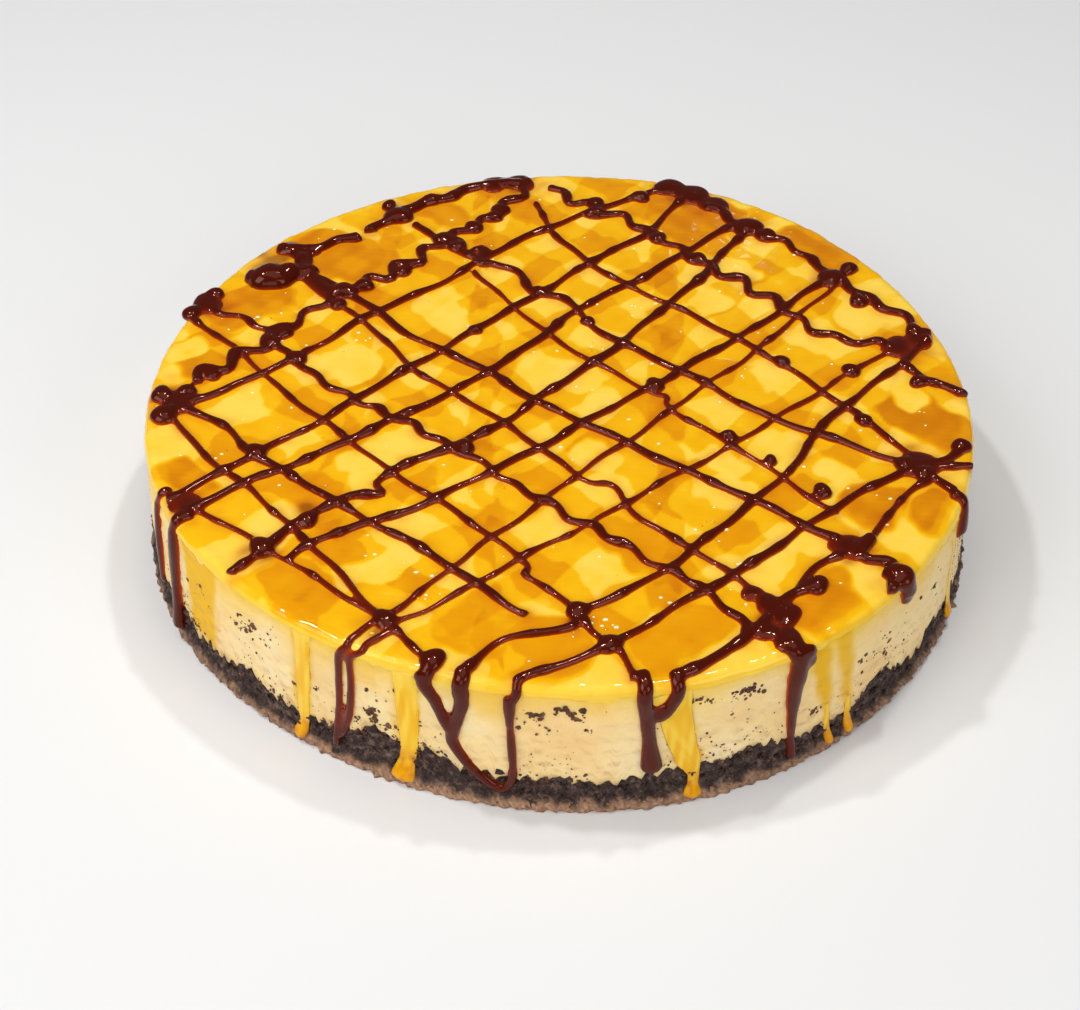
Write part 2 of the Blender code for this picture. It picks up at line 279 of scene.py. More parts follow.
def reckon(tree, operation, first, second, third=0.0):
    """One Math node on values or sockets, kept between 0 and 1."""
    node = add_node(tree, "ShaderNodeMath", operation=operation, use_clamp=True)
    for socket, value in zip(node.inputs, (first, second, third)):
        if isinstance(value, bpy.types.NodeSocket):
            tree.links.new(value, socket)
        else:
            socket.default_value = value
    return node.outputs[0]


def attribute(tree, name):
    """The number stored at each vertex under a name."""
    return add_node(tree, "ShaderNodeAttribute", attribute_name=name).outputs["Fac"]


print("a caramel colour in linear light:", tuple(round(v, 3) for v in seen(236, 160, 20)))

# %% [markdown]
# ## Two effects that several materials share
# Sauce, caramel and chocolate are all wet, and settle into slow ripples with a few sharper dimples. Cream,
# crust and crumbs are all grainy. Each effect is a node group, built once, with its own sizes as inputs.

# %% Shared node groups
def new_group(name, inputs, outputs):
    """An empty shader group with named inputs and outputs, and its two end nodes."""
    group = bpy.data.node_groups.new(name, "ShaderNodeTree")
    for label, default in inputs:
        socket = group.interface.new_socket(label, in_out="INPUT", socket_type="NodeSocketFloat")
        socket.default_value = default
    for label, kind in outputs:
        group.interface.new_socket(label, in_out="OUTPUT", socket_type=kind)
    return group, group.nodes.new("NodeGroupInput"), group.nodes.new("NodeGroupOutput")


def wet_ripple_group():
    """Slow ripples and small dimples of a wet surface, as a height and a mask of the dimples."""
    group, given, result = new_group(
        "wet_ripple", (("Ripples", 120.0), ("Dimples", 900.0)),
        (("Height", "NodeSocketFloat"), ("Dimple Mask", "NodeSocketFloat")))
    spot = add_node(group, "ShaderNodeTexCoord").outputs["Object"]
    slow = add_node(group, "ShaderNodeTexNoise", in_3=2.0, in_4=0.45)
    sharp = add_node(group, "ShaderNodeTexNoise", in_3=1.0, in_4=0.5)
    for noise, scale in ((slow, "Ripples"), (sharp, "Dimples")):
        group.links.new(spot, noise.inputs["Vector"])
        group.links.new(given.outputs[scale], noise.inputs["Scale"])
    dimple = add_node(group, "ShaderNodeMapRange", in_1=0.62, in_2=0.74)
    group.links.new(sharp.outputs["Fac"], dimple.inputs[0])
    height = add_node(group, "ShaderNodeMath", operation="MULTIPLY_ADD")
    group.links.new(dimple.outputs[0], height.inputs[0])
    height.inputs[1].default_value = 0.35
    group.links.new(slow.outputs["Fac"], height.inputs[2])
    group.links.new(height.outputs[0], result.inputs["Height"])
    group.links.new(dimple.outputs[0], result.inputs["Dimple Mask"])
    return group


def grain_group():
    """Coarse and fine grain, as a height, a mask of pale grains and a mask of dark pits."""
    group, given, result = new_group(
        "grain", (("Coarse", 500.0), ("Fine", 2200.0)),
        (("Height", "NodeSocketFloat"), ("Pale", "NodeSocketFloat"), ("Pits", "NodeSocketFloat")))
    spot = add_node(group, "ShaderNodeTexCoord").outputs["Object"]
    coarse = add_node(group, "ShaderNodeTexVoronoi", feature="F1")
    fine = add_node(group, "ShaderNodeTexNoise", in_3=3.0, in_4=0.6)
    for noise, scale in ((coarse, "Coarse"), (fine, "Fine")):
        group.links.new(spot, noise.inputs["Vector"])
        group.links.new(given.outputs[scale], noise.inputs["Scale"])
    height = add_node(group, "ShaderNodeMath", operation="MULTIPLY_ADD")
    group.links.new(coarse.outputs["Distance"], height.inputs[0])
    height.inputs[1].default_value = -0.8
    group.links.new(fine.outputs["Fac"], height.inputs[2])
    pale = add_node(group, "ShaderNodeMapRange", in_1=0.55, in_2=0.72)
    group.links.new(fine.outputs["Fac"], pale.inputs[0])
    pits = add_node(group, "ShaderNodeMapRange", in_1=0.42, in_2=0.3)
    group.links.new(fine.outputs["Fac"], pits.inputs[0])
    group.links.new(height.outputs[0], result.inputs["Height"])
    group.links.new(pale.outputs[0], result.inputs["Pale"])
    group.links.new(pits.outputs[0], result.inputs["Pits"])
    return group


WET_RIPPLE = wet_ripple_group()
GRAIN = grain_group()


def place_group(tree, group, **values):
    """Put a shared group in a material, with this material's own values."""
    node = add_node(tree, "ShaderNodeGroup", node_tree=group)
    for name, value in values.items():
        node.inputs[name].default_value = value
    return node


def bump(tree, shader, height, strength, distance):
    """Feed a height to the shader's normal."""
    node = add_node(tree, "ShaderNodeBump")
    node.inputs["Strength"].default_value = strength
    node.inputs["Distance"].default_value = distance
    tree.links.new(height, node.inputs["Height"])
    tree.links.new(node.outputs["Normal"], shader.inputs["Normal"])


print("groups:", WET_RIPPLE.name, GRAIN.name)

# %% [markdown]
# ## What the cream is finished with
# The cream is pale and soft, and light goes a little way into it. It is yellow under the rim where caramel
# soaked in, stained where caramel ran down, and smeared with crumb dust just above the crust. A picture
# could be painted for that, but it would blur up close, so each share is stored at the mesh's vertices
# and the material mixes its colours by them.

# %% Cream
def cream_material():
    made, tree, shader = new_material(
        "cream", Roughness=0.5, Specular_IOR_Level=0.16, Subsurface_Weight=0.25, Subsurface_Scale=0.004)
    shader.inputs["Subsurface Radius"].default_value = (1.0, 0.6, 0.25)
    grain = place_group(tree, GRAIN, Coarse=260.0, Fine=900.0)
    spot = add_node(tree, "ShaderNodeTexCoord").outputs["Object"]
    cloud = add_node(tree, "ShaderNodeTexNoise", in_2=45.0, in_3=3.0, in_4=0.55)
    tree.links.new(spot, cloud.inputs["Vector"])
    body = ramp(tree, cloud.outputs["Fac"], (
        (0.3, seen(246, 206, 140)), (0.5, seen(252, 220, 158)), (0.7, seen(254, 229, 178))))
    soaked = blend(tree, attribute(tree, "soaked"), body, seen(249, 203, 66))
    stained = blend(tree, attribute(tree, "stain"), soaked, seen(240, 184, 10))
    dusty = blend(tree, attribute(tree, "dust"), stained, seen(168, 120, 76))
    pitted = blend(tree, reckon(tree, "MULTIPLY", grain.outputs["Pits"], 0.12), dusty, seen(200, 150, 96))
    tree.links.new(pitted, shader.inputs["Base Color"])
    bump(tree, shader, grain.outputs["Height"], 0.25, 0.0004)
    return made


CREAM = cream_material()
print("made", CREAM.name)

# %% [markdown]
# ## What the caramel is finished with
# Caramel gets its colour from how deep it lies: pale yellow as a stain, deep amber in a pool. Real sauce
# does that by soaking up light, which is slow to render and lost in an export, so the depth is stored as
# `sauce_depth` and a colour ramp reads it. Where chocolate ran into it, `cocoa` turns it brown, and most air
# bubbles are painted near-white as glints, a painted highlight.

# %% Caramel
def caramel_material():
    made, tree, shader = new_material(
        "caramel", Roughness=0.08, Specular_IOR_Level=0.35, Subsurface_Weight=0.08, Subsurface_Scale=0.002)
    shader.inputs["Subsurface Radius"].default_value = (1.0, 0.55, 0.1)
    shader.inputs["Specular Tint"].default_value = (1.0, 0.9, 0.6, 1.0)
    ripple = place_group(tree, WET_RIPPLE, Ripples=80.0, Dimples=420.0)
    depth = attribute(tree, "sauce_depth")
    sauce = ramp(tree, depth, (
        (0.0, seen(254, 212, 84)), (0.2, seen(252, 204, 58)), (0.31, seen(246, 186, 18)),
        (0.52, seen(241, 175, 8)), (0.62, seen(232, 158, 5)), (0.8, seen(226, 148, 4)),
        (0.9, seen(214, 132, 3)), (1.0, seen(206, 122, 2))))
    cocoa = attribute(tree, "cocoa")
    stain = ramp(tree, cocoa, (
        (0.0, seen(226, 122, 10)), (0.45, seen(196, 92, 12)), (0.9, seen(120, 48, 12))))
    tinted = blend(tree, cocoa, sauce, stain)
    # Most bubbles are mixed to near-white: painted glints, a painted highlight
    glinted = blend(tree, attribute(tree, "painted_glint"), tinted, seen(255, 246, 186))
    tree.links.new(glinted, shader.inputs["Base Color"])
    bump(tree, shader, ripple.outputs["Height"], 0.1, 0.0003)
    return made


CARAMEL = caramel_material()
print("made", CARAMEL.name)

# %% [markdown]
# ## What the chocolate is finished with
# Chocolate sauce is nearly black where it is thick and red-brown where it thins out, which is stored as
# `cover`. A warm tint on its mirror light keeps the highlights from turning the brown grey.

# %% Chocolate
def chocolate_material():
    made, tree, shader = new_material(
        "chocolate", Roughness=0.08, Specular_IOR_Level=0.42)
    shader.inputs["Specular Tint"].default_value = (1.0, 0.52, 0.42, 1.0)
    ripple = place_group(tree, WET_RIPPLE, Ripples=210.0, Dimples=500.0)
    cover = attribute(tree, "cover")
    sauce = ramp(tree, cover, (
        (0.0, seen(192, 88, 5)), (0.22, seen(162, 54, 5)), (0.55, seen(110, 27, 4)), (0.95, seen(72, 15, 4))))
    tree.links.new(sauce, shader.inputs["Base Color"])
    bump(tree, shader, ripple.outputs["Height"], 0.22, 0.0005)
    return made


CHOCOLATE = chocolate_material()
print("made", CHOCOLATE.name)

# %% [markdown]
# ## What the crumbs are finished with
# Crushed dark cookies are dry and coarse: dark, with paler broken faces and a fine sparkle of sugar. The
# foot, where crumbs and butter were pressed on the tin, is light brown, which is stored as `pressed`. The
# crumbs caught in the cream took up fat from it and look redder, so they get colours of their own.

# %% Crumb colours
def crumb_material(name, dark, usual, pale):
    made, tree, shader = new_material(name, Roughness=0.72, Specular_IOR_Level=0.35)
    grain = place_group(tree, GRAIN, Coarse=700.0, Fine=1500.0)
    spot = add_node(tree, "ShaderNodeTexCoord").outputs["Object"]
    cloud = add_node(tree, "ShaderNodeTexNoise", in_2=420.0, in_3=4.0, in_4=0.65)
    tree.links.new(spot, cloud.inputs["Vector"])
    body = ramp(tree, cloud.outputs["Fac"], ((0.32, dark), (0.52, usual), (0.74, pale)))
    flecked = blend(tree, reckon(tree, "MULTIPLY", grain.outputs["Pale"], 0.35), body, pale)
    footed = blend(tree, attribute(tree, "pressed"), flecked, seen(198, 152, 118))
    tree.links.new(footed, shader.inputs["Base Color"])
    bump(tree, shader, grain.outputs["Height"], 0.7, 0.0007)
    return made


CRUMB = crumb_material("dark_crumb", seen(34, 21, 19), seen(68, 49, 44), seen(132, 108, 96))
SPECK = crumb_material("speck_crumb", seen(56, 30, 20), seen(102, 62, 40), seen(158, 112, 78))
print("made", CRUMB.name, "and", SPECK.name)

# %% [markdown]
# ## Keeping a finished piece
# Every piece ends the same way: its bmesh becomes a mesh with a material, smooth faces, and an object at the
# origin that rides on the cake's one body. The solids fix the cake's size, so
# a vertex that would stand out of their box is pulled back to it.

# %% Keeping a piece
BOX_INSET = 0.02
BOX_LOW = np.array(SOLID_BOX[0]) / MM + BOX_INSET
BOX_HIGH = np.array(SOLID_BOX[1]) / MM - BOX_INSET


def to_mesh(bm, name):
    """Turn a bmesh into a mesh, and free it."""
    mesh = bpy.data.meshes.new(name)
    bm.to_mesh(mesh)
    bm.free()
    return mesh


def join_in(whole, part):
    """Add a small finished bmesh to a big one; operators run far quicker while a mesh is small."""
    mesh = to_mesh(part, "part")
    whole.from_mesh(mesh)
    bpy.data.meshes.remove(mesh)


def keep(mesh, name, finish, replaced=None):
    """Make a mesh a finished piece of the cake."""
    put_places(mesh, np.clip(places(mesh), BOX_LOW, BOX_HIGH))
    mesh.materials.clear()
    mesh.materials.append(finish)
    mesh.shade_smooth()
    piece = bpy.data.objects.new(name, mesh)
    bpy.context.scene.collection.objects.link(piece)
    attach(piece, "root")
    if replaced:
        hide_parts(replaced)
    mesh.calc_loop_triangles()
    print(name, "has", len(mesh.loop_triangles), "triangles")
    return piece


print("pieces stay between", BOX_LOW.round(1), "and", BOX_HIGH.round(1))

# %% [markdown]
# ## Bodies made of rings
# The cream and the crust are round walls whose edges wander. A spun profile would give true circles, so
# rings of points are worked out one by one instead, and each ring is extruded from the one before. A flat
# face closes the first ring and the last, and `push_out` roughens a finished wall.

# %% Rings
def level_ring(azimuths, radius, z):
    """One point for each azimuth; the radius and the height may be one number or one for each."""
    radius = np.broadcast_to(radius, azimuths.shape)
    z = np.broadcast_to(z, azimuths.shape)
    return [around(a, r, h) for a, r, h in zip(azimuths, radius, z)]


def next_ring(bm, edges, ring):
    """Extrude a ring's edges: the new edges, and the new vertex that belongs to each old one."""
    grown = bmesh.ops.extrude_edge_only(bm, edges=edges)["geom"]
    new = {item for item in grown if isinstance(item, bmesh.types.BMVert)}
    ring = [next(edge.other_vert(vert) for edge in vert.link_edges if edge.other_vert(vert) in new)
            for vert in ring]
    return [item for item in grown if isinstance(item, bmesh.types.BMEdge)], ring


def skin(rings, count):
    """A closed bmesh through level rings of points, with a flat face inside the first and the last."""
    bm = bmesh.new()
    bmesh.ops.create_circle(bm, segments=count, radius=1.0, cap_ends=True)
    ring = sorted(bm.verts, key=lambda vert: math.atan2(vert.co.x, -vert.co.y) % math.tau)
    edges = list(bm.edges)
    for number, spots in enumerate(rings):
        if number:
            edges, ring = next_ring(bm, edges, ring)
        for vert, spot in zip(ring, spots):
            vert.co = spot
    bmesh.ops.contextual_create(bm, geom=edges)
    bmesh.ops.recalc_face_normals(bm, faces=bm.faces)
    return bm


def push_out(spots, push):
    """Move points away from the cake's middle, each by its own distance."""
    turn = np.arctan2(spots[:, 0], -spots[:, 1])
    spots[:, 0] += push * np.sin(turn)
    spots[:, 1] -= push * np.cos(turn)


print("a ring of", len(level_ring(np.arange(0.0, 360.0, 5.0), RADIUS, 0.0)), "points can be drawn")

# %% [markdown]
# ## The cream filling
# The side was peeled from a paper lining, so it is nearly smooth, with faint level smears. Its rings go from
# the underside, up the side, over the rounded edge and in across the top; the smears are small moves of the
# finished vertices. The lower edge is ragged, because it set around loose crumbs.

# %% Cream body
CREAM_STEPS = 720
CREAM_ROWS = 36
CREAM_TOP = HEIGHT - 0.6
EDGE_TURNS = (0.0, 22.5, 45.0, 67.5, 90.0)
AZIMUTHS = np.arange(CREAM_STEPS) * 360.0 / CREAM_STEPS


def ragged(azimuth):
    """The uneven line between cream and crust, in millimetres above the crust's smooth rim."""
    along = along_side(azimuth)
    fine = 1.1 * uneven(along, 0.0, 5.2, 31) + 0.8 * uneven(along, 0.0, 2.1, 32)
    return fine + 0.6 * uneven(along, 0.0, 12, 33)


def cream_rings():
    """The rings of the filling, from its underside to its top."""
    lower = crust_rim(AZIMUTHS) + ragged(AZIMUTHS)
    upper = CREAM_TOP - EDGE_ROUND
    rings = [
        level_ring(AZIMUTHS, RADIUS - 20, 8.3), level_ring(AZIMUTHS, RADIUS - 6, lower),
        level_ring(AZIMUTHS, side(AZIMUTHS, lower) - 0.7, lower),
    ]
    for row in range(CREAM_ROWS + 1):
        z = lower + (upper - lower) * row / CREAM_ROWS
        tucked = 0.25 if row == 0 else 0.0
        rings.append(level_ring(AZIMUTHS, side(AZIMUTHS, z) - tucked, z))
    for turn in np.radians(EDGE_TURNS[1:]):
        inward = EDGE_ROUND * (1 - math.cos(turn))
        rings.append(level_ring(AZIMUTHS, outline(AZIMUTHS) - inward, upper + EDGE_ROUND * math.sin(turn)))
    return rings


def cream_body():
    """The filling with its faint smears, as a mesh."""
    mesh = to_mesh(skin(cream_rings(), CREAM_STEPS), "cream")
    spots = places(mesh)
    x, y, z = spots.T
    along = along_side(azimuth_of(x, y))
    on_side = (np.hypot(x, y) > RADIUS - 4) & (z < CREAM_TOP - 0.2)
    strokes = 0.14 * uneven(along / 6, z, 5.0, 41) + 0.07 * uneven(along / 2, z, 2.2, 42)
    smear = strokes + 0.2 * uneven(along, z, 38, 43)
    push_out(spots, np.where(on_side, smear - 0.12, 0.0))
    put_places(mesh, spots)
    return mesh


CREAM_MESH = cream_body()
print("the cream has", len(CREAM_MESH.vertices), "vertices")

# %% [markdown]
# ## Where the cream is soaked, stained and dusty
# Caramel soaked in under the rim, furthest where much of it went over, and left broad stains where it ran
# down. Crumb dust was smeared on low down when the lining was pulled off. All three are shares between 0 and
# 1 for each vertex, worked out from its azimuth and height.

# %% Soaked, stained and dusty
# Azimuths where much caramel soaked in below the rim
SOAKED_AT = (-55, -48, -34, -20, -8, 14, 34, 38, 65, 103, 148, -152, -104)
# Where caramel ran down and stained the cream: azimuth and half width at the rim, the same at the end,
# lowest height, strength
STAINS = (
    (-54.7, 9.2, -54.2, 6.4, 8, 1.0), (-34.6, 3.4, -35.0, 2.4, 5, 0.9), (-19.4, 3.6, -19.6, 2.8, 5, 0.9),
    (13.0, 3.4, 16.4, 3.4, 11, 0.95), (33.0, 3.8, 35.6, 1.4, 13, 1.0), (36.8, 3.2, 39.4, 1.8, 11, 0.95),
    (65, 3.0, 65.2, 2.2, 10, 0.9), (103, 4.0, 104, 2.4, 12, 0.9), (148, 3.0, 149, 2.0, 8, 0.9),
    (-152, 5.0, -150, 2.6, 14, 0.9), (-104, 3.0, -105, 2.2, 8, 0.9), (-9.5, 5.0, -9.0, 3.0, 28, 0.4),
    (3.5, 5.0, 4.0, 3.0, 31, 0.4), (-26, 6.0, -25, 4.0, 27, 0.4), (124, 4.0, 124.5, 2.4, 27, 0.5),
    (-86, 4.0, -86.5, 2.4, 24, 0.5), (176, 5.0, 176, 3.0, 28, 0.5), (-128, 4.0, -128, 2.4, 26, 0.4),
)


def soaked_share(azimuth, z):
    """How much caramel soaked into the cream under the rim."""
    along = along_side(azimuth)
    soak_line = HEIGHT - 14.0 + 3.0 * uneven(along, 0.0, 26, 44) + 1.0 * uneven(along, 0.0, 7, 45)
    for middle in SOAKED_AT:
        soak_line = soak_line - 7.0 * np.exp(-(apart(azimuth, middle) / 4.0) ** 2)
    return np.clip((z - soak_line) / (HEIGHT - 1.8 - soak_line), 0, 1) ** 1.9


def stained_share(azimuth, z):
    """How much caramel stained the cream on its way down."""
    stain = np.zeros(len(z))
    for top, wide, bottom, narrow, lowest, strength in STAINS:
        run = np.clip((HEIGHT - z) / (HEIGHT - lowest), 0, 1)
        middle = top + (bottom - top) * run
        away = along_side(apart(azimuth, middle)) - wide - (narrow - wide) * run
        away = away + 0.55 * uneven(along_side(azimuth), z / 3, 4.0, int(top) + 300)
        reached = np.clip((z - lowest) / 4.0, 0, 1) * (z < HEIGHT - 1.5)
        stain = np.maximum(stain, strength * step(-away, 1.6) * reached)
    return stain


def dusty_share(azimuth, z):
    """How much crumb dust is smeared over the cream."""
    along = along_side(azimuth)
    dust_line = crust_rim(azimuth) + 2.2 + 1.2 * uneven(along, 0.0, 9, 46)
    dust = np.clip((dust_line - z) / 2.5, 0, 1) * (0.25 + 0.25 * np.clip(uneven(along, z * 2, 3.0, 47), 0, 1))
    low = np.clip((30 - z) / 14, 0, 1)
    smudges = np.clip(uneven(along, z * 1.7, 5.0, 48) - 0.35, 0, 1) * low
    strokes = np.clip(uneven(along / 6, z, 2.0, 49) - 0.7, 0, 1)
    return np.clip(dust + 0.4 * smudges + 0.12 * strokes, 0, 1)


def finish_cream(mesh):
    x, y, z = places(mesh).T
    azimuth = azimuth_of(x, y)
    for name, share in (("soaked", soaked_share), ("stain", stained_share), ("dust", dusty_share)):
        put_values(mesh, name, share(azimuth, z))
    keep(mesh, "cream", CREAM, "filling")


finish_cream(CREAM_MESH)

# %% [markdown]
# ## Where the chocolate was poured
# Each line is written as its width, the height of its waves and the few bends that it was poured through, in
# millimetres from the cake's middle. One set rises to the right, the other falls, and they cross all over
# the top. Bends given one by one keep the spoon's own swing, which a rule would lose.

# %% Where the lines go
# Each line: its width, the height of its waves, and the bends it was poured through, x and y
RISING_LINES = (
    (4.4, 0.5, ((-61, 81), (-57, 87), (-51, 94), (-38, 101), (-28, 108), (-14, 111))),
    (4.6, 0.4, ((-88, 72), (-83, 70), (-77, 71), (-70, 76), (-65, 78))),
    (4.2, 0.4, ((-84, 69), (-81, 64), (-78, 57), (-72, 50), (-66, 46))),
    (3.0, 1.0, ((-40, 78), (-34, 76), (-30, 70), (-26, 71), (-25, 66), (-23, 64))),
    (3.4, 2.2, ((-107, 3), (-88, 22), (-67, 49), (-53, 58), (-41, 72), (-30, 84), (-21, 92), (-10, 112))),
    (2.8, 0.0, ((-107, -6), (-97, -1), (-79, 14), (-60, 34), (-38, 53), (-8, 82), (16, 98), (36, 110))),
    (2.8, 0.0, ((-107, -49), (-94, -38), (-68, -14), (-40, 15), (-18, 37), (11, 67), (27, 82), (40, 103))),
    (3.0, 0.0, ((-101, -54), (-86, -42), (-54, -19), (-18, 12), (3, 38), (20, 53), (42, 74), (57, 89))),
    (3.0, 0.0, ((-86, -78), (-74, -62), (-59, -48), (-49, -46), (-50, -39), (-24, -21), (-6, -3), (18, 24),
                (41, 55), (60, 85))),
    (2.8, 0.0, ((-72, -73), (-63, -64), (-35, -48), (-6, -25), (24, 1), (52, 26), (83, 58))),
    (2.0, 0.0, ((-44, -92), (-28, -74), (0, -42), (37, -2), (64, 28), (87, 58))),
    (2.0, 0.0, ((-46, -97), (-38, -93), (-27, -84), (-3, -65), (35, -34), (64, -9), (86, 12), (98, 20))),
    (2.8, 0.0, ((-26, -113), (-15, -101), (3, -96), (5, -90), (27, -75), (43, -57), (65, -32), (71, -18),
                (91, 5), (110, 27))),
    (2.8, 0.0, ((-11, -115), (13, -101), (42, -78), (66, -57), (80, -44), (99, -31))),
    (3.4, 0.0, ((28, -113), (43, -102), (57, -86), (66, -80))),
    (2.4, 0.0, ((57, -88), (66, -74), (82, -61), (93, -45), (101, -38))),
)
FALLING_LINES = (
    (2.2, 0.0, ((-112, 34), (-99, 21), (-76, -6), (-47, -36), (-11, -70), (-9, -78), (4, -90), (8, -98),
                (15, -104), (18, -114))),
    (2.8, 0.9, ((-107, 39), (-90, 29), (-77, 12), (-60, -5), (-45, -14), (-20, -35), (13, -63), (37, -82),
                (47, -98))),
    (2.2, 0.0, ((-81, 55), (-60, 33), (-42, 9), (-9, -22), (6, -39), (14, -42), (22, -55), (44, -76),
                (55, -90), (56, -101))),
    (3.0, 0.0, ((-76, 56), (-62, 44), (-47, 28), (-26, 12), (0, -10), (38, -37), (73, -62))),
    (2.8, 0.0, ((-47, 86), (-35, 73), (-23, 64), (-13, 60), (-9, 49), (1, 46), (8, 33), (18, 24), (42, 4),
                (60, -11), (79, -22), (97, -31))),
    (2.0, 0.0, ((-27, 60), (-7, 31), (24, 1), (30, -2), (33, -9), (57, -33), (74, -52))),
    (2.4, 0.0, ((-8, 99), (0, 77), (20, 54), (49, 30), (69, 9), (87, -12), (97, -28))),
    (3.2, 1.8, ((-3, 109), (2, 102), (14, 95), (31, 80), (46, 64), (64, 47), (80, 28), (98, 24))),
    (3.4, 1.2, ((48, 98), (60, 86), (72, 76), (83, 62), (98, 44), (110, 30))),
    (3.2, 0.4, ((100, 15), (104, 11), (107, 6), (112, 4), (116, 0))),
    (2.2, 0.0, ((-112, -11), (-99, -30), (-82, -48), (-69, -63), (-53, -84), (-38, -102), (-32, -110))),
    (2.8, 0.0, ((-108, -10), (-96, -17), (-87, -28), (-77, -37), (-38, -67), (-9, -92))),
    (2.0, 0.0, ((-99, -53), (-81, -65), (-62, -81), (-44, -95))),
    (3.0, 0.0, ((98, -31), (107, -29), (113, -22))),
    (2.2, 0.0, ((99, -33), (107, -32), (114, -31))),
    (3.0, 0.0, ((99, -33), (108, -42))),
    (4.0, 0.8, ((81, -61), (80, -68), (88, -73), (84, -80))),
)

print(len(RISING_LINES), "lines rise to the right and", len(FALLING_LINES), "fall")

# %% [markdown]
# ## Pouring
# A poured line is a tube with an oval section, half sunk in what it lies on. `pour` starts from a circle and
# extrudes it along the route, one ring for each point, then closes the end. A curve object with a bevel
# would do for a round cord, but here each ring has its own width, height and way out of the cake.

# %% Pouring
def smooth_route(bends, longest):
    """Points along a smooth curve through the bends, no more than a length apart."""
    route = []
    padded = [bends[0], *bends, bends[-1]]
    for before, start, end, after in zip(padded, padded[1:], padded[2:], padded[3:]):
        pieces = max(1, math.ceil((end - start).length / longest))
        for number in range(pieces):
            part = number / pieces
            curve = (2 * start + (end - before) * part
                     + (2 * before - 5 * start + 4 * end - after) * part ** 2
                     + (3 * start - before - 3 * end + after) * part ** 3)
            route.append(0.5 * curve)
    route.append(bends[-1].copy())
    return route


def pour(whole, route, widths, flats, outs, sides=12):
    """Extrude an oval along a route: a width and a height at each point, and which way is out of the cake."""
    bm = bmesh.new()
    loop = bmesh.ops.create_circle(bm, segments=sides, radius=1.0, cap_ends=True)["verts"]
    turns = [math.atan2(vert.co.y, vert.co.x) for vert in loop]
    edges = list(bm.edges)
    for number, (place, width, flat, out) in enumerate(zip(route, widths, flats, outs)):
        if number:
            edges, loop = next_ring(bm, edges, loop)
        ahead = route[min(number + 1, len(route) - 1)] - route[max(number - 1, 0)]
        across = ahead.cross(out).normalized()
        for vert, turn in zip(loop, turns):
            vert.co = (place + across * (0.5 * width * math.cos(turn)) + out * (flat * math.sin(turn))) * MM
    bmesh.ops.contextual_create(bm, geom=edges)
    join_in(whole, bm)


sample = smooth_route([Vector((0, 0, 0)), Vector((10, 0, 0)), Vector((10, 10, 0))], 1.5)
print("a bent sample route has", len(sample), "points")

# %% [markdown]
# ## The lines over the top
# A hand never pours evenly: the line wanders, swings where the spoon was shaken, and swells into a knot every
# centimetre or two. The routes are kept in a list, because the caramel is browned beside them later.

# %% Lines over the top
WANDER = 0.35
LIFT = 0.12
LINE_STEP = 1.5
KNOT_REACH = 2.1
UP = Vector((0, 0, 1))


def thick_and_thin(count, width, hand):
    """Widths along a line: slow swelling, a knot every centimetre or two, and fuller ends."""
    start = hand.uniform(0, math.tau)
    knots = []
    along = hand.uniform(3, 12)
    while along < count * LINE_STEP:
        knots.append((along, hand.uniform(0.05, 0.45)))
        along += hand.uniform(7, 22)
    widths = []
    for number in range(count):
        along = number * LINE_STEP
        slow = 0.07 * math.sin(along / 9.0 + start) + 0.06 * math.sin(along / 4.1 + 2 * start)
        swell = sum(size * math.exp(-((along - middle) / KNOT_REACH) ** 2) for middle, size in knots)
        end = 0.25 * max(math.exp(-number / 2.0), math.exp(-(count - 1 - number) / 2.0))
        widths.append(width * (0.9 + slow + swell + end))
    return widths


def line_routes():
    """The points and the widths of every crossing line."""
    hand = random.Random(5)
    poured = []
    for width, wave, bends in RISING_LINES + FALLING_LINES:
        corners = [Vector((x, y, HEIGHT + LIFT)) for x, y in bends]
        route = smooth_route(corners, LINE_STEP)
        start = hand.uniform(0, math.tau)
        moved = [route[0]]
        for number in range(1, len(route) - 1):
            across = (route[number + 1] - route[number - 1]).cross(UP).normalized()
            along = number * LINE_STEP
            wander = WANDER * (math.sin(along / 3.7 + start) + math.sin(along / 7.3 + 3 * start))
            swing = wave * math.sin(along * math.tau / 13.0 + start) * (1 + 0.3 * math.sin(along / 11.0))
            moved.append(route[number] + across * (wander + swing))
        moved.append(route[-1])
        poured.append((moved, thick_and_thin(len(moved), width + 0.1, hand)))
    return poured


def add_lines(bm):
    """The crossing lines."""
    for route, widths in LINE_ROUTES:
        pour(bm, route, widths, [0.46 * w for w in widths], [UP] * len(route))


LINE_ROUTES = line_routes()
print("points on the lines:", sum(len(route) for route, _ in LINE_ROUTES))

# %% [markdown]
# ## The caramel on top
# Caramel was spooned over in broad bands both ways, so it lies in overlapping patches: one layer is golden,
# two are amber, and bare spots are pale. `sauce_depth` adds the bands up, then the named pools and thin spots
# override it. The sheet is a square grid pressed into a disc, so its cells stay even, and its border is
# extruded over the rounded edge, down to a ragged lip and back into the cream.

# %% Where the caramel is deep
# Bands: direction in degrees, distance of the middle from the centre, half width
BANDS = (
    (45, -92, 5), (43, -70, 6), (46, -47, 5), (44, -24, 6), (45, 1, 5), (47, 24, 6), (44, 50, 5), (45, 74, 6),
    (-46, -88, 6), (-44, -62, 5), (-45, -39, 6), (-47, -15, 5), (-45, 10, 6), (-44, 33, 5), (-46, 58, 6),
    (-45, 84, 5), (88, 30, 4), (92, -22, 3), (88, -60, 3),
)
BAND_DEPTH = 0.3
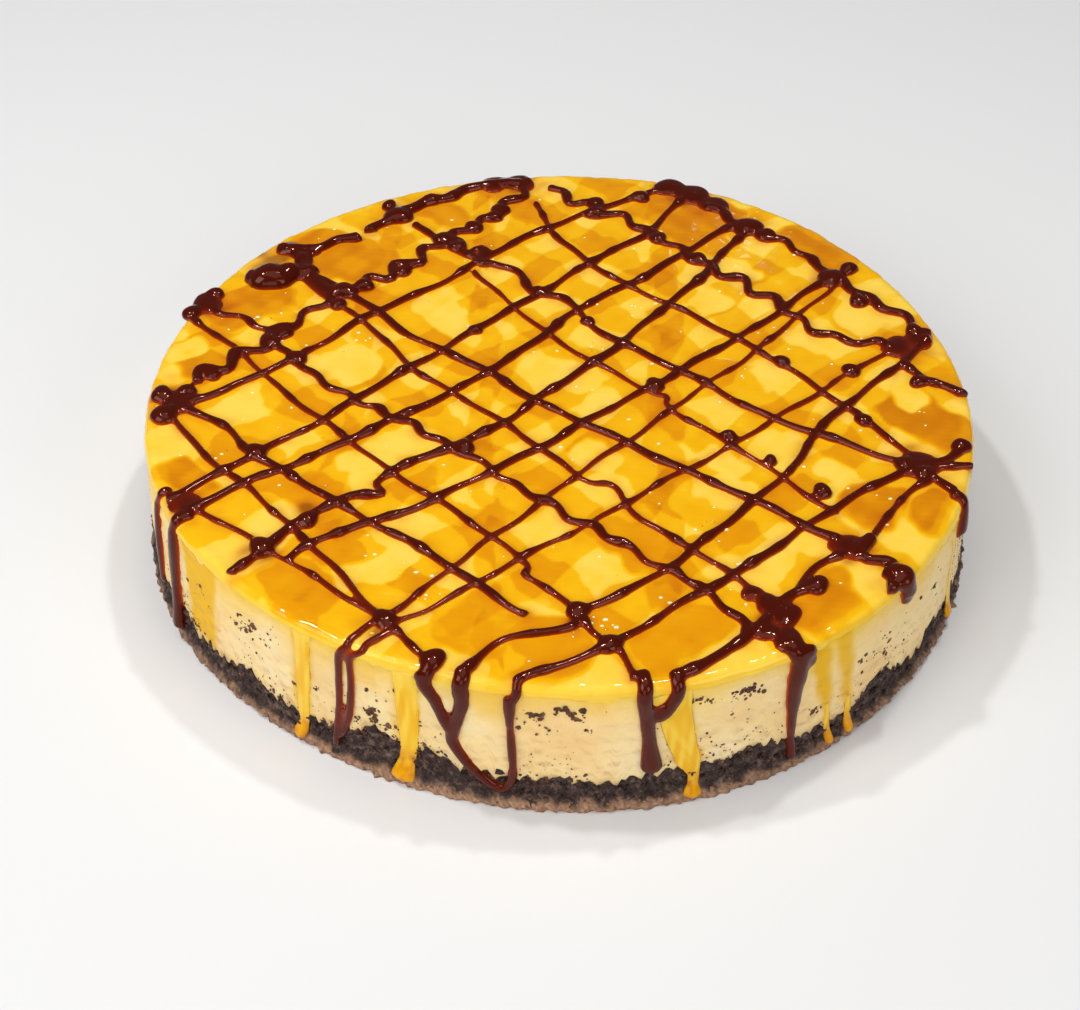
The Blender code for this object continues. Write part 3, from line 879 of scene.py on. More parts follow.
# Deep pools: x, y, radius, depth
POOLS = (
    (-95, 42, 13, 0.86), (-104, 12, 9, 0.86), (-70, 68, 14, 0.86), (-58, 62, 8, 0.8), (-38, 92, 8, 0.8),
    (-12, 95, 7, 0.8), (45, 90, 13, 0.9), (85, 78, 15, 0.9), (103, -10, 14, 0.95), (62, -45, 8, 0.75),
    (85, -47, 8, 0.9), (-103, -40, 10, 0.85), (-68, -45, 8, 0.75), (-60, -68, 8, 0.75), (-68, -83, 12, 0.75),
    (-22, -55, 8, 0.65), (-20, -95, 13, 0.6), (-2, -102, 10, 0.72), (30, -98, 12, 0.7), (68, -88, 12, 0.85),
    (20, -65, 10, 0.7), (100, -50, 8, 0.9),
)
# Thin spots: x, y, radius
THIN_SPOTS = (
    (-110, 18, 7), (-62, 12, 9), (-90, -8, 7), (-53, -30, 8), (-33, 35, 7), (5, 8, 7), (10, -7, 6),
    (10, -28, 7), (45, -28, 8), (-45, -72, 8), (90, 38, 8), (55, 62, 8), (45, 45, 7), (60, 8, 7), (100, 0, 6),
    (55, -70, 7), (75, -34, 7), (-75, -60, 6), (-20, 60, 7), (-70, 50, 6),
)


def blocky(x, y, number):
    """Distance from a spot's middle, measured so that equal distances make soft-cornered diamonds."""
    stretch = (1.25, 1.0, 0.8)[number % 3]
    along = np.abs(x + y) * math.sqrt(0.5) / stretch
    across = np.abs(y - x) * math.sqrt(0.5) * stretch
    return (along ** 4 + across ** 4) ** 0.25


def sauce_depth(x, y):
    """How deep the caramel lies, from 0, a mere stain, to 1, a pool."""
    shaken_x = x + 1.9 * uneven(x, y, 24, 51) + 0.5 * uneven(x, y, 7, 52)
    shaken_y = y + 1.9 * uneven(x, y, 24, 53) + 0.5 * uneven(x, y, 7, 54)
    depth = np.full(np.shape(x), 0.1)
    for direction, offset, half_width in BANDS:
        turn = math.radians(direction)
        across = shaken_x * math.sin(turn) - shaken_y * math.cos(turn) - offset
        depth = depth + BAND_DEPTH * step(half_width - np.abs(across), 0.6)
    depth = np.minimum(depth, 0.85)
    for number, (spot_x, spot_y, radius, pool_depth) in enumerate(POOLS):
        inside = step(0.9 * radius - blocky(shaken_x - spot_x, shaken_y - spot_y, number), 1.4)
        depth = np.maximum(depth, pool_depth * inside)
    for number, (spot_x, spot_y, radius) in enumerate(THIN_SPOTS):
        inside = step(0.9 * radius - blocky(shaken_x - spot_x, shaken_y - spot_y, number), 0.8)
        depth = depth * (1 - 0.85 * inside)
    return np.clip(depth + 0.06 * uneven(x, y, 12, 55) + 0.035 * uneven(x + 0.5 * y, 3 * y, 7, 56), 0, 1)


test_x, test_y = np.meshgrid(np.linspace(-80, 80, 90), np.linspace(-80, 80, 90))
print("mean depth", round(float(sauce_depth(test_x, test_y).mean()), 2))

# %% [markdown]
# ## Chocolate that ran into the caramel
# Warm chocolate colours the caramel beside it: a brown haze under the patches, and a thin brown edge along
# parts of each line. A tree of the lines' points finds the nearest one to any place on the sheet.

# %% Chocolate haze in the caramel
# Where chocolate patches lie, some of it has run into the caramel: x, y, radius of the haze
HAZE = (
    (-112, -6, 12), (-106, 40, 11), (-90, 66, 13), (-52, 92, 11), (-16, 110, 14), (42, 104, 17), (84, 60, 9),
    (104, 24, 12), (99, -30, 12), (77, -65, 9), (55, -91, 11), (-101, -51, 10), (-79, -70, 9), (60, 88, 10),
    (-46, -96, 8), (4, -94, 7), (-60, 50, 7), (-68, -52, 7),
)
LINE_STAIN = 1.4


def beside_lines(x, y):
    """1 under a chocolate line, falling to 0 a few millimetres beside it."""
    points = [(place, width) for route, widths in LINE_ROUTES for place, width in zip(route, widths)]
    tree = KDTree(len(points))
    for number, (place, _) in enumerate(points):
        tree.insert((place.x, place.y, 0), number)
    tree.balance()
    close = np.zeros(np.shape(x))
    for index, (across, up) in enumerate(zip(x, y)):
        _, number, distance = tree.find((across, up, 0))
        close[index] = math.exp(-(distance / (0.6 * points[number][1] + LINE_STAIN)) ** 2)
    return close


def cocoa_haze(x, y):
    """How much chocolate has run into the caramel."""
    patchy = np.clip(0.55 + 0.6 * uneven(x, y, 16, 62) + 0.25 * uneven(x, y, 5, 63), 0, 1)
    haze = 0.5 * beside_lines(x, y) * patchy
    for spot_x, spot_y, radius in HAZE:
        reach = np.hypot(x - spot_x, y - spot_y) / radius + 0.16 * uneven(x, y, 7, 61)
        haze = np.maximum(haze, 0.8 * np.clip(1.2 - reach, 0, 1) ** 1.8)
    return haze


test_haze = cocoa_haze(test_x.ravel(), test_y.ravel())
print("share of the middle that is browned:", round(float((test_haze > 0.3).mean()), 2))

# %% [markdown]
# ## The sheet of caramel
# A disc filled with a fan of triangles would crowd them in its middle, so the sheet is a square grid that is
# pressed into the cake's outline, which keeps its cells even. Its border is extruded over the rounded edge,
# down to a ragged lip and back into the cream, and closed underneath.

# %% Caramel sheet
SHEET_CELLS = 288
LIP_ROWS = 5
GLAZE_LIFT = 0.22


def lip(azimuth):
    """How far below the rounded edge the caramel's lip hangs."""
    along = along_side(azimuth)
    return np.clip(0.7 + 1.1 * uneven(along, 0.0, 18, 71) + 0.6 * uneven(along, 0.0, 5, 72), 0.15, 4)


def pressed_disc():
    """A grid of even cells, pressed from a square into the cake's outline."""
    bm = bmesh.new()
    bmesh.ops.create_grid(bm, x_segments=SHEET_CELLS, y_segments=SHEET_CELLS, size=1.0)
    for vert in bm.verts:
        x, y = vert.co.x, vert.co.y
        disc_x = x * math.sqrt(1 - y * y / 2)
        disc_y = y * math.sqrt(1 - x * x / 2)
        reach = float(outline(azimuth_of(disc_x, disc_y))) - EDGE_ROUND
        vert.co = Vector((disc_x * reach, disc_y * reach, HEIGHT)) * MM
    return bm


def rim_steps():
    """The steps over the edge to the lip: how far in, how far down, and the share of the lip."""
    steps = []
    for turn in np.radians(EDGE_TURNS[1:]):
        steps.append((EDGE_ROUND * (1 - math.sin(turn)), EDGE_ROUND * (1 - math.cos(turn)), 0.0))
    for row in range(1, LIP_ROWS + 1):
        steps.append((0.0, EDGE_ROUND, row / LIP_ROWS))
    return steps + [(1.5, EDGE_ROUND, 1.0), (8.0, EDGE_ROUND, 1.0)]


def glaze_sheet():
    """The whole sheet, with its lip and its closed underside, as a mesh."""
    bm = pressed_disc()
    edges = [edge for edge in bm.edges if edge.is_boundary]
    for inward, drop, share in rim_steps():
        grown = bmesh.ops.extrude_edge_only(bm, edges=edges)["geom"]
        for vert in (item for item in grown if isinstance(item, bmesh.types.BMVert)):
            azimuth = float(azimuth_of(vert.co.x, vert.co.y))
            along = along_side(azimuth)
            z = HEIGHT - drop - float(lip(azimuth)) * share
            lumps = 0.13 * uneven(along, 0.0, 11, 77) + 0.07 * uneven(along, drop, 4.5, 78)
            thick = GLAZE_LIFT * (1 - share) ** 0.5 - 0.25 * share + lumps * (1 - share)
            flared = FLARE * (1 - z / HEIGHT) * (drop < EDGE_ROUND)
            vert.co = around(azimuth, float(side(azimuth, z)) - flared - inward + thick, z)
        edges = [item for item in grown if isinstance(item, bmesh.types.BMEdge)]
    bmesh.ops.contextual_create(bm, geom=edges)
    bmesh.ops.recalc_face_normals(bm, faces=bm.faces)
    return to_mesh(bm, "caramel_glaze")


GLAZE_MESH = glaze_sheet()
print("the sheet has", len(GLAZE_MESH.vertices), "vertices")

# %% [markdown]
# ## The caramel's surface
# Pools stand a little higher than thin places, slow ripples cross the sheet, and stronger waves follow the
# rim, where they break up the highlights. Near the rim the sauce drained away and is paler, most of all at
# the front.

# %% Caramel glaze
GLAZE_DEPTH = 0.3
USUAL_DEPTH = 0.35
PALE_RIM = 12


def drained(depth, x, y, z, edge):
    """The sauce's depth once the rim has drained."""
    pale = 0.45 + 0.45 * np.exp(-(apart(azimuth_of(x, y), PALE_RIM) / 35) ** 2) + 0.3 * uneven(x, y, 40, 79)
    near_rim = np.clip((np.hypot(x, y) - edge + 5.0) / 4.0, 0, 1) * np.clip(pale, 0.1, 1)
    near_rim = np.maximum(near_rim, np.clip((HEIGHT - 0.3 - z) / 1.2, 0, 1))
    return depth * (1 - 0.85 * near_rim) + 0.12 * near_rim


def finish_glaze(mesh):
    spots = places(mesh)
    x, y, z = spots.T
    radius = np.hypot(x, y)
    edge = outline(azimuth_of(x, y))
    depth = drained(sauce_depth(x, y), x, y, z, edge)
    on_top = np.clip((edge - EDGE_ROUND + 0.5 - radius) / 3.0, 0, 1) * (z > HEIGHT - 0.5)
    ripples = 0.03 * uneven(x, y, 11, 73) + 0.007 * uneven(x, y, 3.5, 74)
    rim_waves = 0.13 * uneven(x, y, 10, 75) + 0.05 * uneven(x, y, 4, 76)
    waves = ripples + rim_waves * np.clip((radius - edge + 9.0) / 5.0, 0, 1)
    shown = np.clip((z - HEIGHT + 2.6) / 2.0, 0, 1)
    spots[:, 2] += on_top * GLAZE_DEPTH * (depth - USUAL_DEPTH) + waves * shown
    put_places(mesh, spots)
    put_values(mesh, "sauce_depth", depth)
    put_values(mesh, "cocoa", cocoa_haze(x, y))
    keep(mesh, "caramel_glaze", CARAMEL)


finish_glaze(GLAZE_MESH)

# %% [markdown]
# ## Drops and patches
# Where lines start, end and cross, chocolate piled up. Each pile is a ball, flattened and knocked out of
# round; a patch is a wider and flatter one. They are only placed here, and melted into the lines below.

# %% Drops and patches
# Where lines start, end and cross, the chocolate stands in drops: x, y, radius, height
DROPS = (
    (-90, 54, 6.4, 5.2), (-85, 56, 4.4, 4.6), (-95, 55, 3.4, 3.0), (-81, 65, 3.4, 2.4),
    (-79, 58, 3.4, 2.8), (-67, 48, 4.2, 2.8), (-68, 41, 2.6, 2.4), (-61, 51, 3.2, 2.6),
    (-87, 22, 3.6, 2.2), (-102, 6, 3.2, 1.8), (-78, 14, 3.4, 2.2), (-85, -29, 3.4, 2.4),
    (-53, 90, 4.8, 2.8), (-56, 96, 2.8, 2.4), (-20, 94, 3.4, 2.4), (-26, 29, 2.4, 1.8),
    (11, 99, 3.0, 2.4), (11, 93, 3.4, 2.6), (26, 103, 3.2, 2.4), (31, 79, 3.0, 2.2), (43, 68, 3.0, 2.2),
    (60, 86, 5.0, 2.6), (66, 82, 2.8, 2.4), (84, 58, 4.6, 2.4), (90, 63, 3.0, 2.6), (-7, 49, 2.6, 2.0),
    (8, 34, 2.4, 1.8), (27, 3, 3.2, 2.2), (47, -20, 2.6, 2.4), (71, -43, 3.0, 2.4), (86, -12, 2.8, 2.0),
    (-27, -26, 3.0, 2.6), (-68, -57, 3.2, 2.4), (-79, -68, 3.8, 2.6), (4, -90, 3.2, 2.2),
    (12, -102, 3.4, 2.4), (66, -80, 3.4, 2.6), (88, -76, 4.2, 3.2), (112, -23, 3.0, 2.4),
    (-32, -108, 3.6, 2.4), (-45, -94, 3.4, 2.2), (-115, -4, 3.6, 2.6), (-113, -13, 4.2, 2.6),
    (-108, -2, 3.0, 2.0), (-106, 46, 2.8, 2.2), (-112, 36, 3.2, 2.2), (-33, 73, 2.8, 2.2),
    (58, -30, 2.2, 1.8), (-83, 26, 2.8, 2.2), (91, 46, 3.2, 2.4), (106, 31, 3.0, 2.4),
    (-49, 59, 2.6, 2.2), (-38, 77, 3.2, 2.4), (-28, 84, 3.2, 2.4), (-22, 90, 3.0, 2.2),
    (104, 6, 2.8, 2.2), (85, 11, 3.0, 2.2), (65, 15, 2.8, 2.0), (100, -35, 3.0, 2.4), (95, -31, 3.0, 2.2),
)
# Wide thin patches that the lines run together in: x, y, radius, height
PATCHES = (
    (-110, -7, 5.6, 1.3), (-108, 41, 5.4, 1.3), (-86, 71, 4.2, 1.5), (-80, 70, 4.0, 1.4),
    (-22, 110, 5.0, 1.3), (-14, 111, 5.2, 1.4), (36, 109, 5.6, 1.8), (43, 105, 6.2, 1.7),
    (50, 99, 5.2, 1.5), (100, 23, 5.4, 1.2), (107, 27, 5.0, 1.2), (99, -31, 6.2, 1.3),
    (76, -65, 5.4, 1.2), (49, -83, 3.2, 1.2), (53, -87, 4.0, 1.4), (57, -91, 4.4, 1.6),
    (52, -97, 3.6, 1.4), (57, -100, 4.4, 1.6), (-101, -51, 5.0, 1.0),
)


def add_drops(bm):
    """Round drops and flat patches, each a flattened ball with an uneven outline."""
    hand = random.Random(8)
    for x, y, radius, height in DROPS + PATCHES:
        ball = bmesh.ops.create_icosphere(bm, subdivisions=3, radius=1.0)["verts"]
        start = hand.uniform(0, math.tau)
        for vert in ball:
            turn = math.atan2(vert.co.y, vert.co.x)
            wobble = 1 + 0.09 * math.sin(2 * turn + start) + 0.07 * math.sin(3 * turn + 2 * start)
            vert.co = (Vector((x, y, HEIGHT + LIFT)) + Vector(
                (vert.co.x * radius * wobble, vert.co.y * radius * wobble, vert.co.z * height))) * MM


print(len(DROPS), "drops and", len(PATCHES), "patches")

# %% [markdown]
# ## Where chocolate ran down
# Some lines were poured past the edge, and the sauce ran down the side until it set. A run is a route too:
# it leaves the top at one point and then goes through stations on the side, each an azimuth and a height, so
# it lies on the cake wherever the side is.

# %% Where the runs go
# Each run: width, where it leaves the top, then azimuth, height and share of the width
RUNS = (
    (3.2, (-106, -46), ((-67.5, 36, 1.0), (-68, 22, 1.0), (-68, 8, 1.0))),
    (4.4, (-99, -55), ((-61, 36, 1.0), (-61.5, 20, 1.0), (-61, 3.6, 1.0))),
    (2.4, (-47, -94), ((-28.7, 38, 1.0), (-28.9, 30, 1.0), (-29, 20, 1.0), (-29.4, 12, 0.9),
                       (-29.7, 4.5, 0.8))),
    (2.3, (-43, -98), ((-27.1, 38, 1.0), (-27.1, 30, 1.0), (-27.4, 20, 1.0), (-28.1, 13, 1.0),
                       (-29.1, 8, 1.0))),
    (3.8, (-32, -109), ((-17, 38, 1.1), (-15.6, 33, 1.0), (-14.4, 27, 0.95), (-13.3, 23.5, 1.0))),
    (4.6, (-24, -112), ((-12.4, 39, 1.1), (-12.2, 34, 1.0), (-12.8, 28, 0.85), (-13.5, 22, 0.75),
                        (-13.1, 18.5, 0.75), (-11.3, 12.5, 0.75), (-9, 7.2, 0.7), (-7.4, 5.4, 0.65),
                        (-6.2, 7.5, 0.55), (-5.8, 14, 0.5), (-6.2, 28, 0.5), (-6.3, 39, 0.6))),
    (2.6, (-11, -114), ((-5.4, 40, 1.0), (-6.2, 36, 1.0))),
    (3.8, (20, -111), ((9.9, 39, 1.1), (10.2, 33, 1.0), (10.6, 26, 1.1), (10.9, 19, 1.3),
                       (11.2, 13.6, 1.45))),
    (3.8, (28, -111), ((13.9, 39, 1.1), (12.8, 34.5, 1.0), (11.3, 31, 0.8))),
    (4.4, (56, -101), ((30.2, 39, 1.3), (30, 34, 1.25), (29.7, 28, 1.0), (29.7, 18, 0.75), (29.9, 10, 0.6),
                       (30, 3.6, 0.55))),
    (5.4, (84, -74), ((49.2, 41, 1.0), (49.6, 37, 1.0))),
    (4.4, (107, -43), ((67.5, 39, 1.0), (67, 31, 1.0))),
)


def side_place(azimuth, z, stand):
    """A point on the side, and the way out of the cake there."""
    turn = math.radians(azimuth)
    rim = float(crust_rim(azimuth))
    below = min(1.0, max(0.0, (rim + 1.5 - z) / 3.0))
    foot = float(foot_reach(azimuth)) * min(1.0, max(0.0, (5.0 - z) / 2.0))
    radius = float(side(azimuth, z)) + stand + (foot - 0.3 * (foot == 0)) * below
    return around(azimuth, radius, z) / MM, Vector((math.sin(turn), -math.cos(turn), 0))


print(len(RUNS), "runs down the side")

# %% [markdown]
# ## Bending a run over the edge
# The oval that is poured has to know which way is out of the cake: up on the top, level on the side, and in
# between on the rounded edge. Between two bends of a run, the way out turns evenly from one to the other.

# %% Over the edge
def way_out(place):
    """The way out of the cake at a point near its surface."""
    radius = math.hypot(place.x, place.y)
    away = Vector((place.x, place.y, 0)).normalized()
    inner = float(outline(azimuth_of(place.x, place.y))) - EDGE_ROUND
    if place.z < HEIGHT - EDGE_ROUND:
        return away
    if radius < inner:
        return UP.copy()
    return (away * (radius - inner) + UP * (place.z - HEIGHT + EDGE_ROUND)).normalized()


def over_edge(x, y, first, stand):
    """The bends that take a run from a point on the top over the rounded edge."""
    over = 0.5 * (float(azimuth_of(x, y)) + first)
    reach = float(outline(over)) - EDGE_ROUND
    bends = [Vector((x, y, HEIGHT + stand))]
    for lean in (0.0, math.pi / 4):
        bend = around(over, reach + (EDGE_ROUND + stand) * math.sin(lean), 0) / MM
        bend.z = HEIGHT - EDGE_ROUND + (EDGE_ROUND + stand) * math.cos(lean)
        bends.append(bend)
    return bends


def run_route(x, y, stations, stand):
    """A smooth run from the top down the side, with the way out at each point."""
    bends = over_edge(x, y, stations[0][0], stand)
    bends += [side_place(azimuth, z, stand)[0] for azimuth, z, _ in stations]
    route = smooth_route(bends, LINE_STEP)
    ways = []
    for place in route:
        away = [(bend - place).length for bend in bends]
        nearest = away.index(min(away))
        beside = [number for number in (nearest - 1, nearest + 1) if 0 <= number < len(bends)]
        other = min(beside, key=lambda number: away[number])
        share = away[nearest] / max(away[nearest] + away[other], 1e-6)
        ways.append((way_out(bends[nearest]) * (1 - share) + way_out(bends[other]) * share).normalized())
    return route, ways


print("the longest run has", max(len(run_route(x, y, way, LIFT)[0]) for _, (x, y), way in RUNS), "points")

# %% [markdown]
# ## Pouring the runs
# The width at each point is a mean of the stations' widths, weighed by how near they are. A slow wave and a
# fuller end are added, and a few drops sit where a run gathered.

# %% Pouring the runs
# Where a run is fuller: azimuth, height, radius
RUN_DROPS = (
    (11.2, 14.4, 2.7), (31.5, 37.0, 2.6), (30.4, 38, 3.0), (49.6, 36.4, 2.8), (49.3, 39.6, 2.8),
    (-61.3, 6.0, 2.5), (-17.2, 39.5, 2.4), (-12.3, 37, 2.6), (-13.4, 23.3, 2.2), (31.3, 39.8, 2.8),
    (12.2, 34, 2.4), (-29.6, 5.5, 1.4), (67, 32, 2.5), (30, 5, 1.5), (-68, 10.0, 2.0),
)


def add_run_drops(bm):
    """The fuller places, as balls flattened against the side."""
    for azimuth, z, radius in RUN_DROPS:
        place, out = side_place(azimuth, z, LIFT)
        small = bmesh.new()
        for vert in bmesh.ops.create_icosphere(small, subdivisions=3, radius=1.0)["verts"]:
            away = vert.co.dot(out)
            vert.co = (place + vert.co * radius - out * (away * radius * 0.45)) * MM
        join_in(bm, small)


def add_runs(bm):
    """Chocolate that ran over the edge and down the side."""
    hand = random.Random(12)
    for width, (x, y), stations in RUNS:
        route, ways = run_route(x, y, stations, LIFT)
        spots = [side_place(azimuth, z, LIFT)[0] for azimuth, z, _ in stations]
        widths = []
        start = hand.uniform(0, math.tau)
        for number, place in enumerate(route):
            near = [1 / (0.5 + (spot - place).length) ** 2 for spot in spots]
            share = sum(weight * station[2] for weight, station in zip(near, stations)) / sum(near)
            end = math.exp(-((len(route) - 3 - number) / 2.5) ** 2)
            widths.append(width * share * (1 + 0.07 * math.sin(number / 3.3 + start) + 0.15 * end))
        widths[0] *= 0.8
        widths[-1] *= 0.6
        pour(bm, route, widths, [0.42 * w for w in widths], ways)


print(len(RUN_DROPS), "drops gather on the runs")

# %% [markdown]
# ## Melting the chocolate together
# Lines that cross really melt into one another. The Remesh modifier does the same: it rebuilds all the tubes
# and balls as one skin of small even faces, a light smoothing rounds the crossings, and Decimate then drops
# what the shape doesn't need.

# %% Chocolate drizzle
VOXEL = 0.6
MELT_ROUNDS = 3
KEPT_SHARE = 0.6
# How thick chocolate has to stand to look its darkest
FULL_COVER = 1.3


def apply_modifiers(thing):
    """The mesh that an object's modifiers give; the object itself goes."""
    bpy.context.view_layer.update()
    graph = bpy.context.evaluated_depsgraph_get()
    mesh = bpy.data.meshes.new_from_object(thing.evaluated_get(graph))
    bpy.data.objects.remove(thing)
    return mesh


def melted_chocolate():
    """Every line, drop and run, melted into one skin."""
    bm = bmesh.new()
    add_lines(bm)
    add_drops(bm)
    add_run_drops(bm)
    add_runs(bm)
    bmesh.ops.recalc_face_normals(bm, faces=bm.faces)
    thing = bpy.data.objects.new("drizzle_rough", to_mesh(bm, "drizzle_rough"))
    bpy.context.scene.collection.objects.link(thing)
    melt = thing.modifiers.new("melt", "REMESH")
    melt.mode = "VOXEL"
    melt.voxel_size = VOXEL * MM
    ease = thing.modifiers.new("ease", "SMOOTH")
    ease.factor = 0.5
    ease.iterations = MELT_ROUNDS
    thin = thing.modifiers.new("thin", "DECIMATE")
    thin.ratio = KEPT_SHARE
    return apply_modifiers(thing)


def make_chocolate():
    mesh = melted_chocolate()
    x, y, z = places(mesh).T
    azimuth = azimuth_of(x, y)
    radius = np.hypot(x, y)
    past = np.maximum(radius - outline(azimuth) + EDGE_ROUND, 0)
    over = z - HEIGHT + EDGE_ROUND
    standing = np.where(over > 0, np.hypot(past, over) - EDGE_ROUND, radius - side(azimuth, z) + 0.1)
    standing = np.where(z < crust_rim(azimuth) + 2, standing + 0.6, standing)
    put_values(mesh, "cover", np.clip(standing / FULL_COVER, 0, 1))
    keep(mesh, "chocolate_drizzle", CHOCOLATE)


make_chocolate()

# %% [markdown]
# ## Caramel that ran down
# These streaks are thin films, so they are poured the same way as the chocolate, but wide and flat, and they
# end in a fuller drop. Two of them start only near the crust: further up they soaked in, and the cream's
# stain shows them.

# %% Where the streaks go
# Each streak: width, then azimuth, height and share of the width
STREAKS = (
    (5.0, ((-34.6, 39.3, 1.3), (-34.6, 30, 1.0), (-34.8, 12, 0.8), (-35, 6, 0.7), (-35.4, 1.8, 0.9))),
    (6.0, ((-19.6, 39.3, 1.3), (-19.4, 30, 1.0), (-19.2, 15, 0.9), (-19.6, 8, 0.8), (-20, 2.2, 1.0))),
    (8.0, ((13.2, 39.3, 1.4), (13.8, 32, 1.0), (14.8, 22, 1.0), (15.9, 14, 0.85), (16.6, 9, 0.4),
           (16.6, 5, 0.35), (16.4, 1.8, 0.6))),
    (2.4, ((35.4, 17, 0.6), (35.5, 12, 1.0), (36.0, 6, 0.9), (36.2, 2.2, 1.2))),
    (2.6, ((39.2, 15, 0.6), (39.4, 10, 1.0), (39.6, 5, 0.9), (39.7, 1.8, 1.2))),
    (4.0, ((64.6, 39.3, 1.6), (65, 30, 1.0), (65.2, 16, 0.8), (65.3, 3, 0.9))),
    (6.0, ((103, 39.3, 1.5), (103.4, 33, 1.0), (104, 20, 0.8), (104, 12, 0.6))),
    (4.5, ((148, 39.3, 1.5), (148.3, 30, 1.0), (148.5, 18, 0.9), (149, 5, 0.8))),
    (9.0, ((-152, 39.3, 1.5), (-151.5, 30, 1.0), (-151, 22, 0.9), (-150, 14, 0.5))),
    (5.0, ((-104, 39.3, 1.5), (-104.3, 30, 1.0), (-104.6, 16, 0.8), (-105, 4, 0.9))),
)
STREAK_THICKNESS = 0.4
print(len(STREAKS), "streaks of caramel")

# %% [markdown]
# ## Pouring the streaks
# A streak is no deeper than its film, so its colour comes from waves along it instead of its real depth. It
# darkens over the crust, where crumbs show through.

# %% Caramel streaks
STREAK_SIDES = 16


def poured_streaks():
    """Every streak, as a mesh."""
    bm = bmesh.new()
    hand = random.Random(17)
    for width, stations in STREAKS:
        route = smooth_route([side_place(azimuth, z, -0.15)[0] for azimuth, z, _ in stations], 1.2)
        ways = [way_out(place) for place in route]
        levels = [z for _, z, _ in reversed(stations)]
        shares = [share for _, _, share in reversed(stations)]
        phase = hand.uniform(0, math.tau)
        widths = []
        flats = []
        for number, place in enumerate(route):
            share = float(np.interp(place.z, levels, shares))
            end = math.exp(-((len(route) - 3 - number) / 2.0) ** 2)
            widths.append(width * share * (1 + 0.08 * math.sin(number / 4.0 + phase)) * (1 + 0.12 * end))
            grown = min(1.0, (1 + number) / 5)
            flats.append(0.2 + (STREAK_THICKNESS - 0.2 + 0.9 * end) * grown)
        widths[-1] *= 0.5
        pour(bm, route, widths, flats, ways, STREAK_SIDES)
    bmesh.ops.recalc_face_normals(bm, faces=bm.faces)
    return to_mesh(bm, "caramel_streaks")


def make_streaks():
    mesh = poured_streaks()
    x, y, z = places(mesh).T
    azimuth = azimuth_of(x, y)
    along = along_side(azimuth)
    depth = 0.27 + 0.13 * uneven(along, z / 9, 2.2, 81) + 0.3 * np.clip((7 - z) / 5, 0, 1)
    depth = depth - 0.18 * np.clip((z - 33) / 6, 0, 1)
    on_crust = np.clip((crust_rim(azimuth) - z) / 3, 0, 1)
    put_values(mesh, "sauce_depth", np.clip(depth, 0.02, 1))
    put_values(mesh, "cocoa", on_crust * np.clip(0.34 + 0.2 * uneven(along, z, 3.0, 82), 0, 1))
    keep(mesh, "caramel_streaks", CARAMEL)


make_streaks()

# %% [markdown]
# ## The crumb crust
# Crushed dark cookies and butter, pressed flat: up close it is a wall of broken grains. The wall is a body of
# rings like the cream's, pushed in and out by three sizes of unevenness, and loose grains sit all over it.

# %% Crust wall
CRUST_STEPS = 900
CRUST_ROWS = 22


def crust_rings():
    """The rings of the crust, from its underside over the foot to where it goes in under the cream."""
    azimuths = np.arange(CRUST_STEPS) * 360.0 / CRUST_STEPS
    top = crust_rim(azimuths) + ragged(azimuths) + 0.2
    rings = [level_ring(azimuths, side(azimuths, 0) - 1.5, 0.0)]
    for row in range(CRUST_ROWS + 1):
        z = 0.2 + (top - 0.2) * row / CRUST_ROWS
        back_off = -0.55 * np.clip((z - 3.0) / 1.5, 0, 1)
        rings.append(level_ring(azimuths, side(azimuths, z) + foot_flare(azimuths, z) + back_off, z))
    rings.append(level_ring(azimuths, side(azimuths, top) - 2.5, top))
    rings.append(level_ring(azimuths, RADIUS - 20, 7.8))
    return rings


def make_crust():
    mesh = to_mesh(skin(crust_rings(), CRUST_STEPS), "crumb_crust")
    spots = places(mesh)
    x, y, z = spots.T
    azimuth = azimuth_of(x, y)
    along = along_side(azimuth)
    outer = (np.hypot(x, y) > RADIUS - 2) & (z > 0.05)
    crag = 0.42 * uneven(along, z, 4.0, 91) + 0.3 * uneven(along, z, 1.8, 92)
    crag = crag + 0.14 * np.abs(uneven(along, z, 0.9, 93))
    push_out(spots, np.where(outer, crag - 0.25, 0.0))
    put_places(mesh, spots)
    pressed_line = 3.4 + 0.7 * uneven(along, 0.0, 8, 94)
    mottled = 0.75 + 0.35 * uneven(along, z, 1.6, 95)
    pressed = np.clip((pressed_line - z) / 1.4, 0, 1) * (0.5 + 0.45 * near_front(azimuth)) * mottled
    put_values(mesh, "pressed", np.clip(pressed, 0, 1))
    keep(mesh, "crumb_crust", CRUMB, "crust")


make_crust()

# %% [markdown]
# ## Crumbs
# Each crumb starts as a ball of twenty faces, is squashed and knocked out of shape, and is set half into the
# surface. Thousands are needed, so they are made in small batches, and each batch is joined to the whole.

# %% Crumbs
BATCH = 80


def add_crumb(bm, azimuth, z, radius, size, hand, flat):
    """One broken grain, half set in the surface."""
    ball = bmesh.ops.create_icosphere(bm, subdivisions=1, radius=1.0)["verts"]
    spun = Matrix.Rotation(hand.uniform(0, math.tau), 3, "Z")
    turn = spun @ Matrix.Rotation(hand.uniform(0, math.pi), 3, "X")
    stretch = Vector([size * 0.5 * hand.uniform(0.6, 1.25) for _ in range(3)])
    centre = around(azimuth, radius, z)
    away = centre.copy()
    away.z = 0
    away.normalize()
    for vert in ball:
        knock = hand.uniform(0.8, 1.2)
        corner = turn @ Vector([c * s * knock for c, s in zip(vert.co, stretch)])
        corner -= away * corner.dot(away) * (1 - flat)
        vert.co = centre + corner * MM


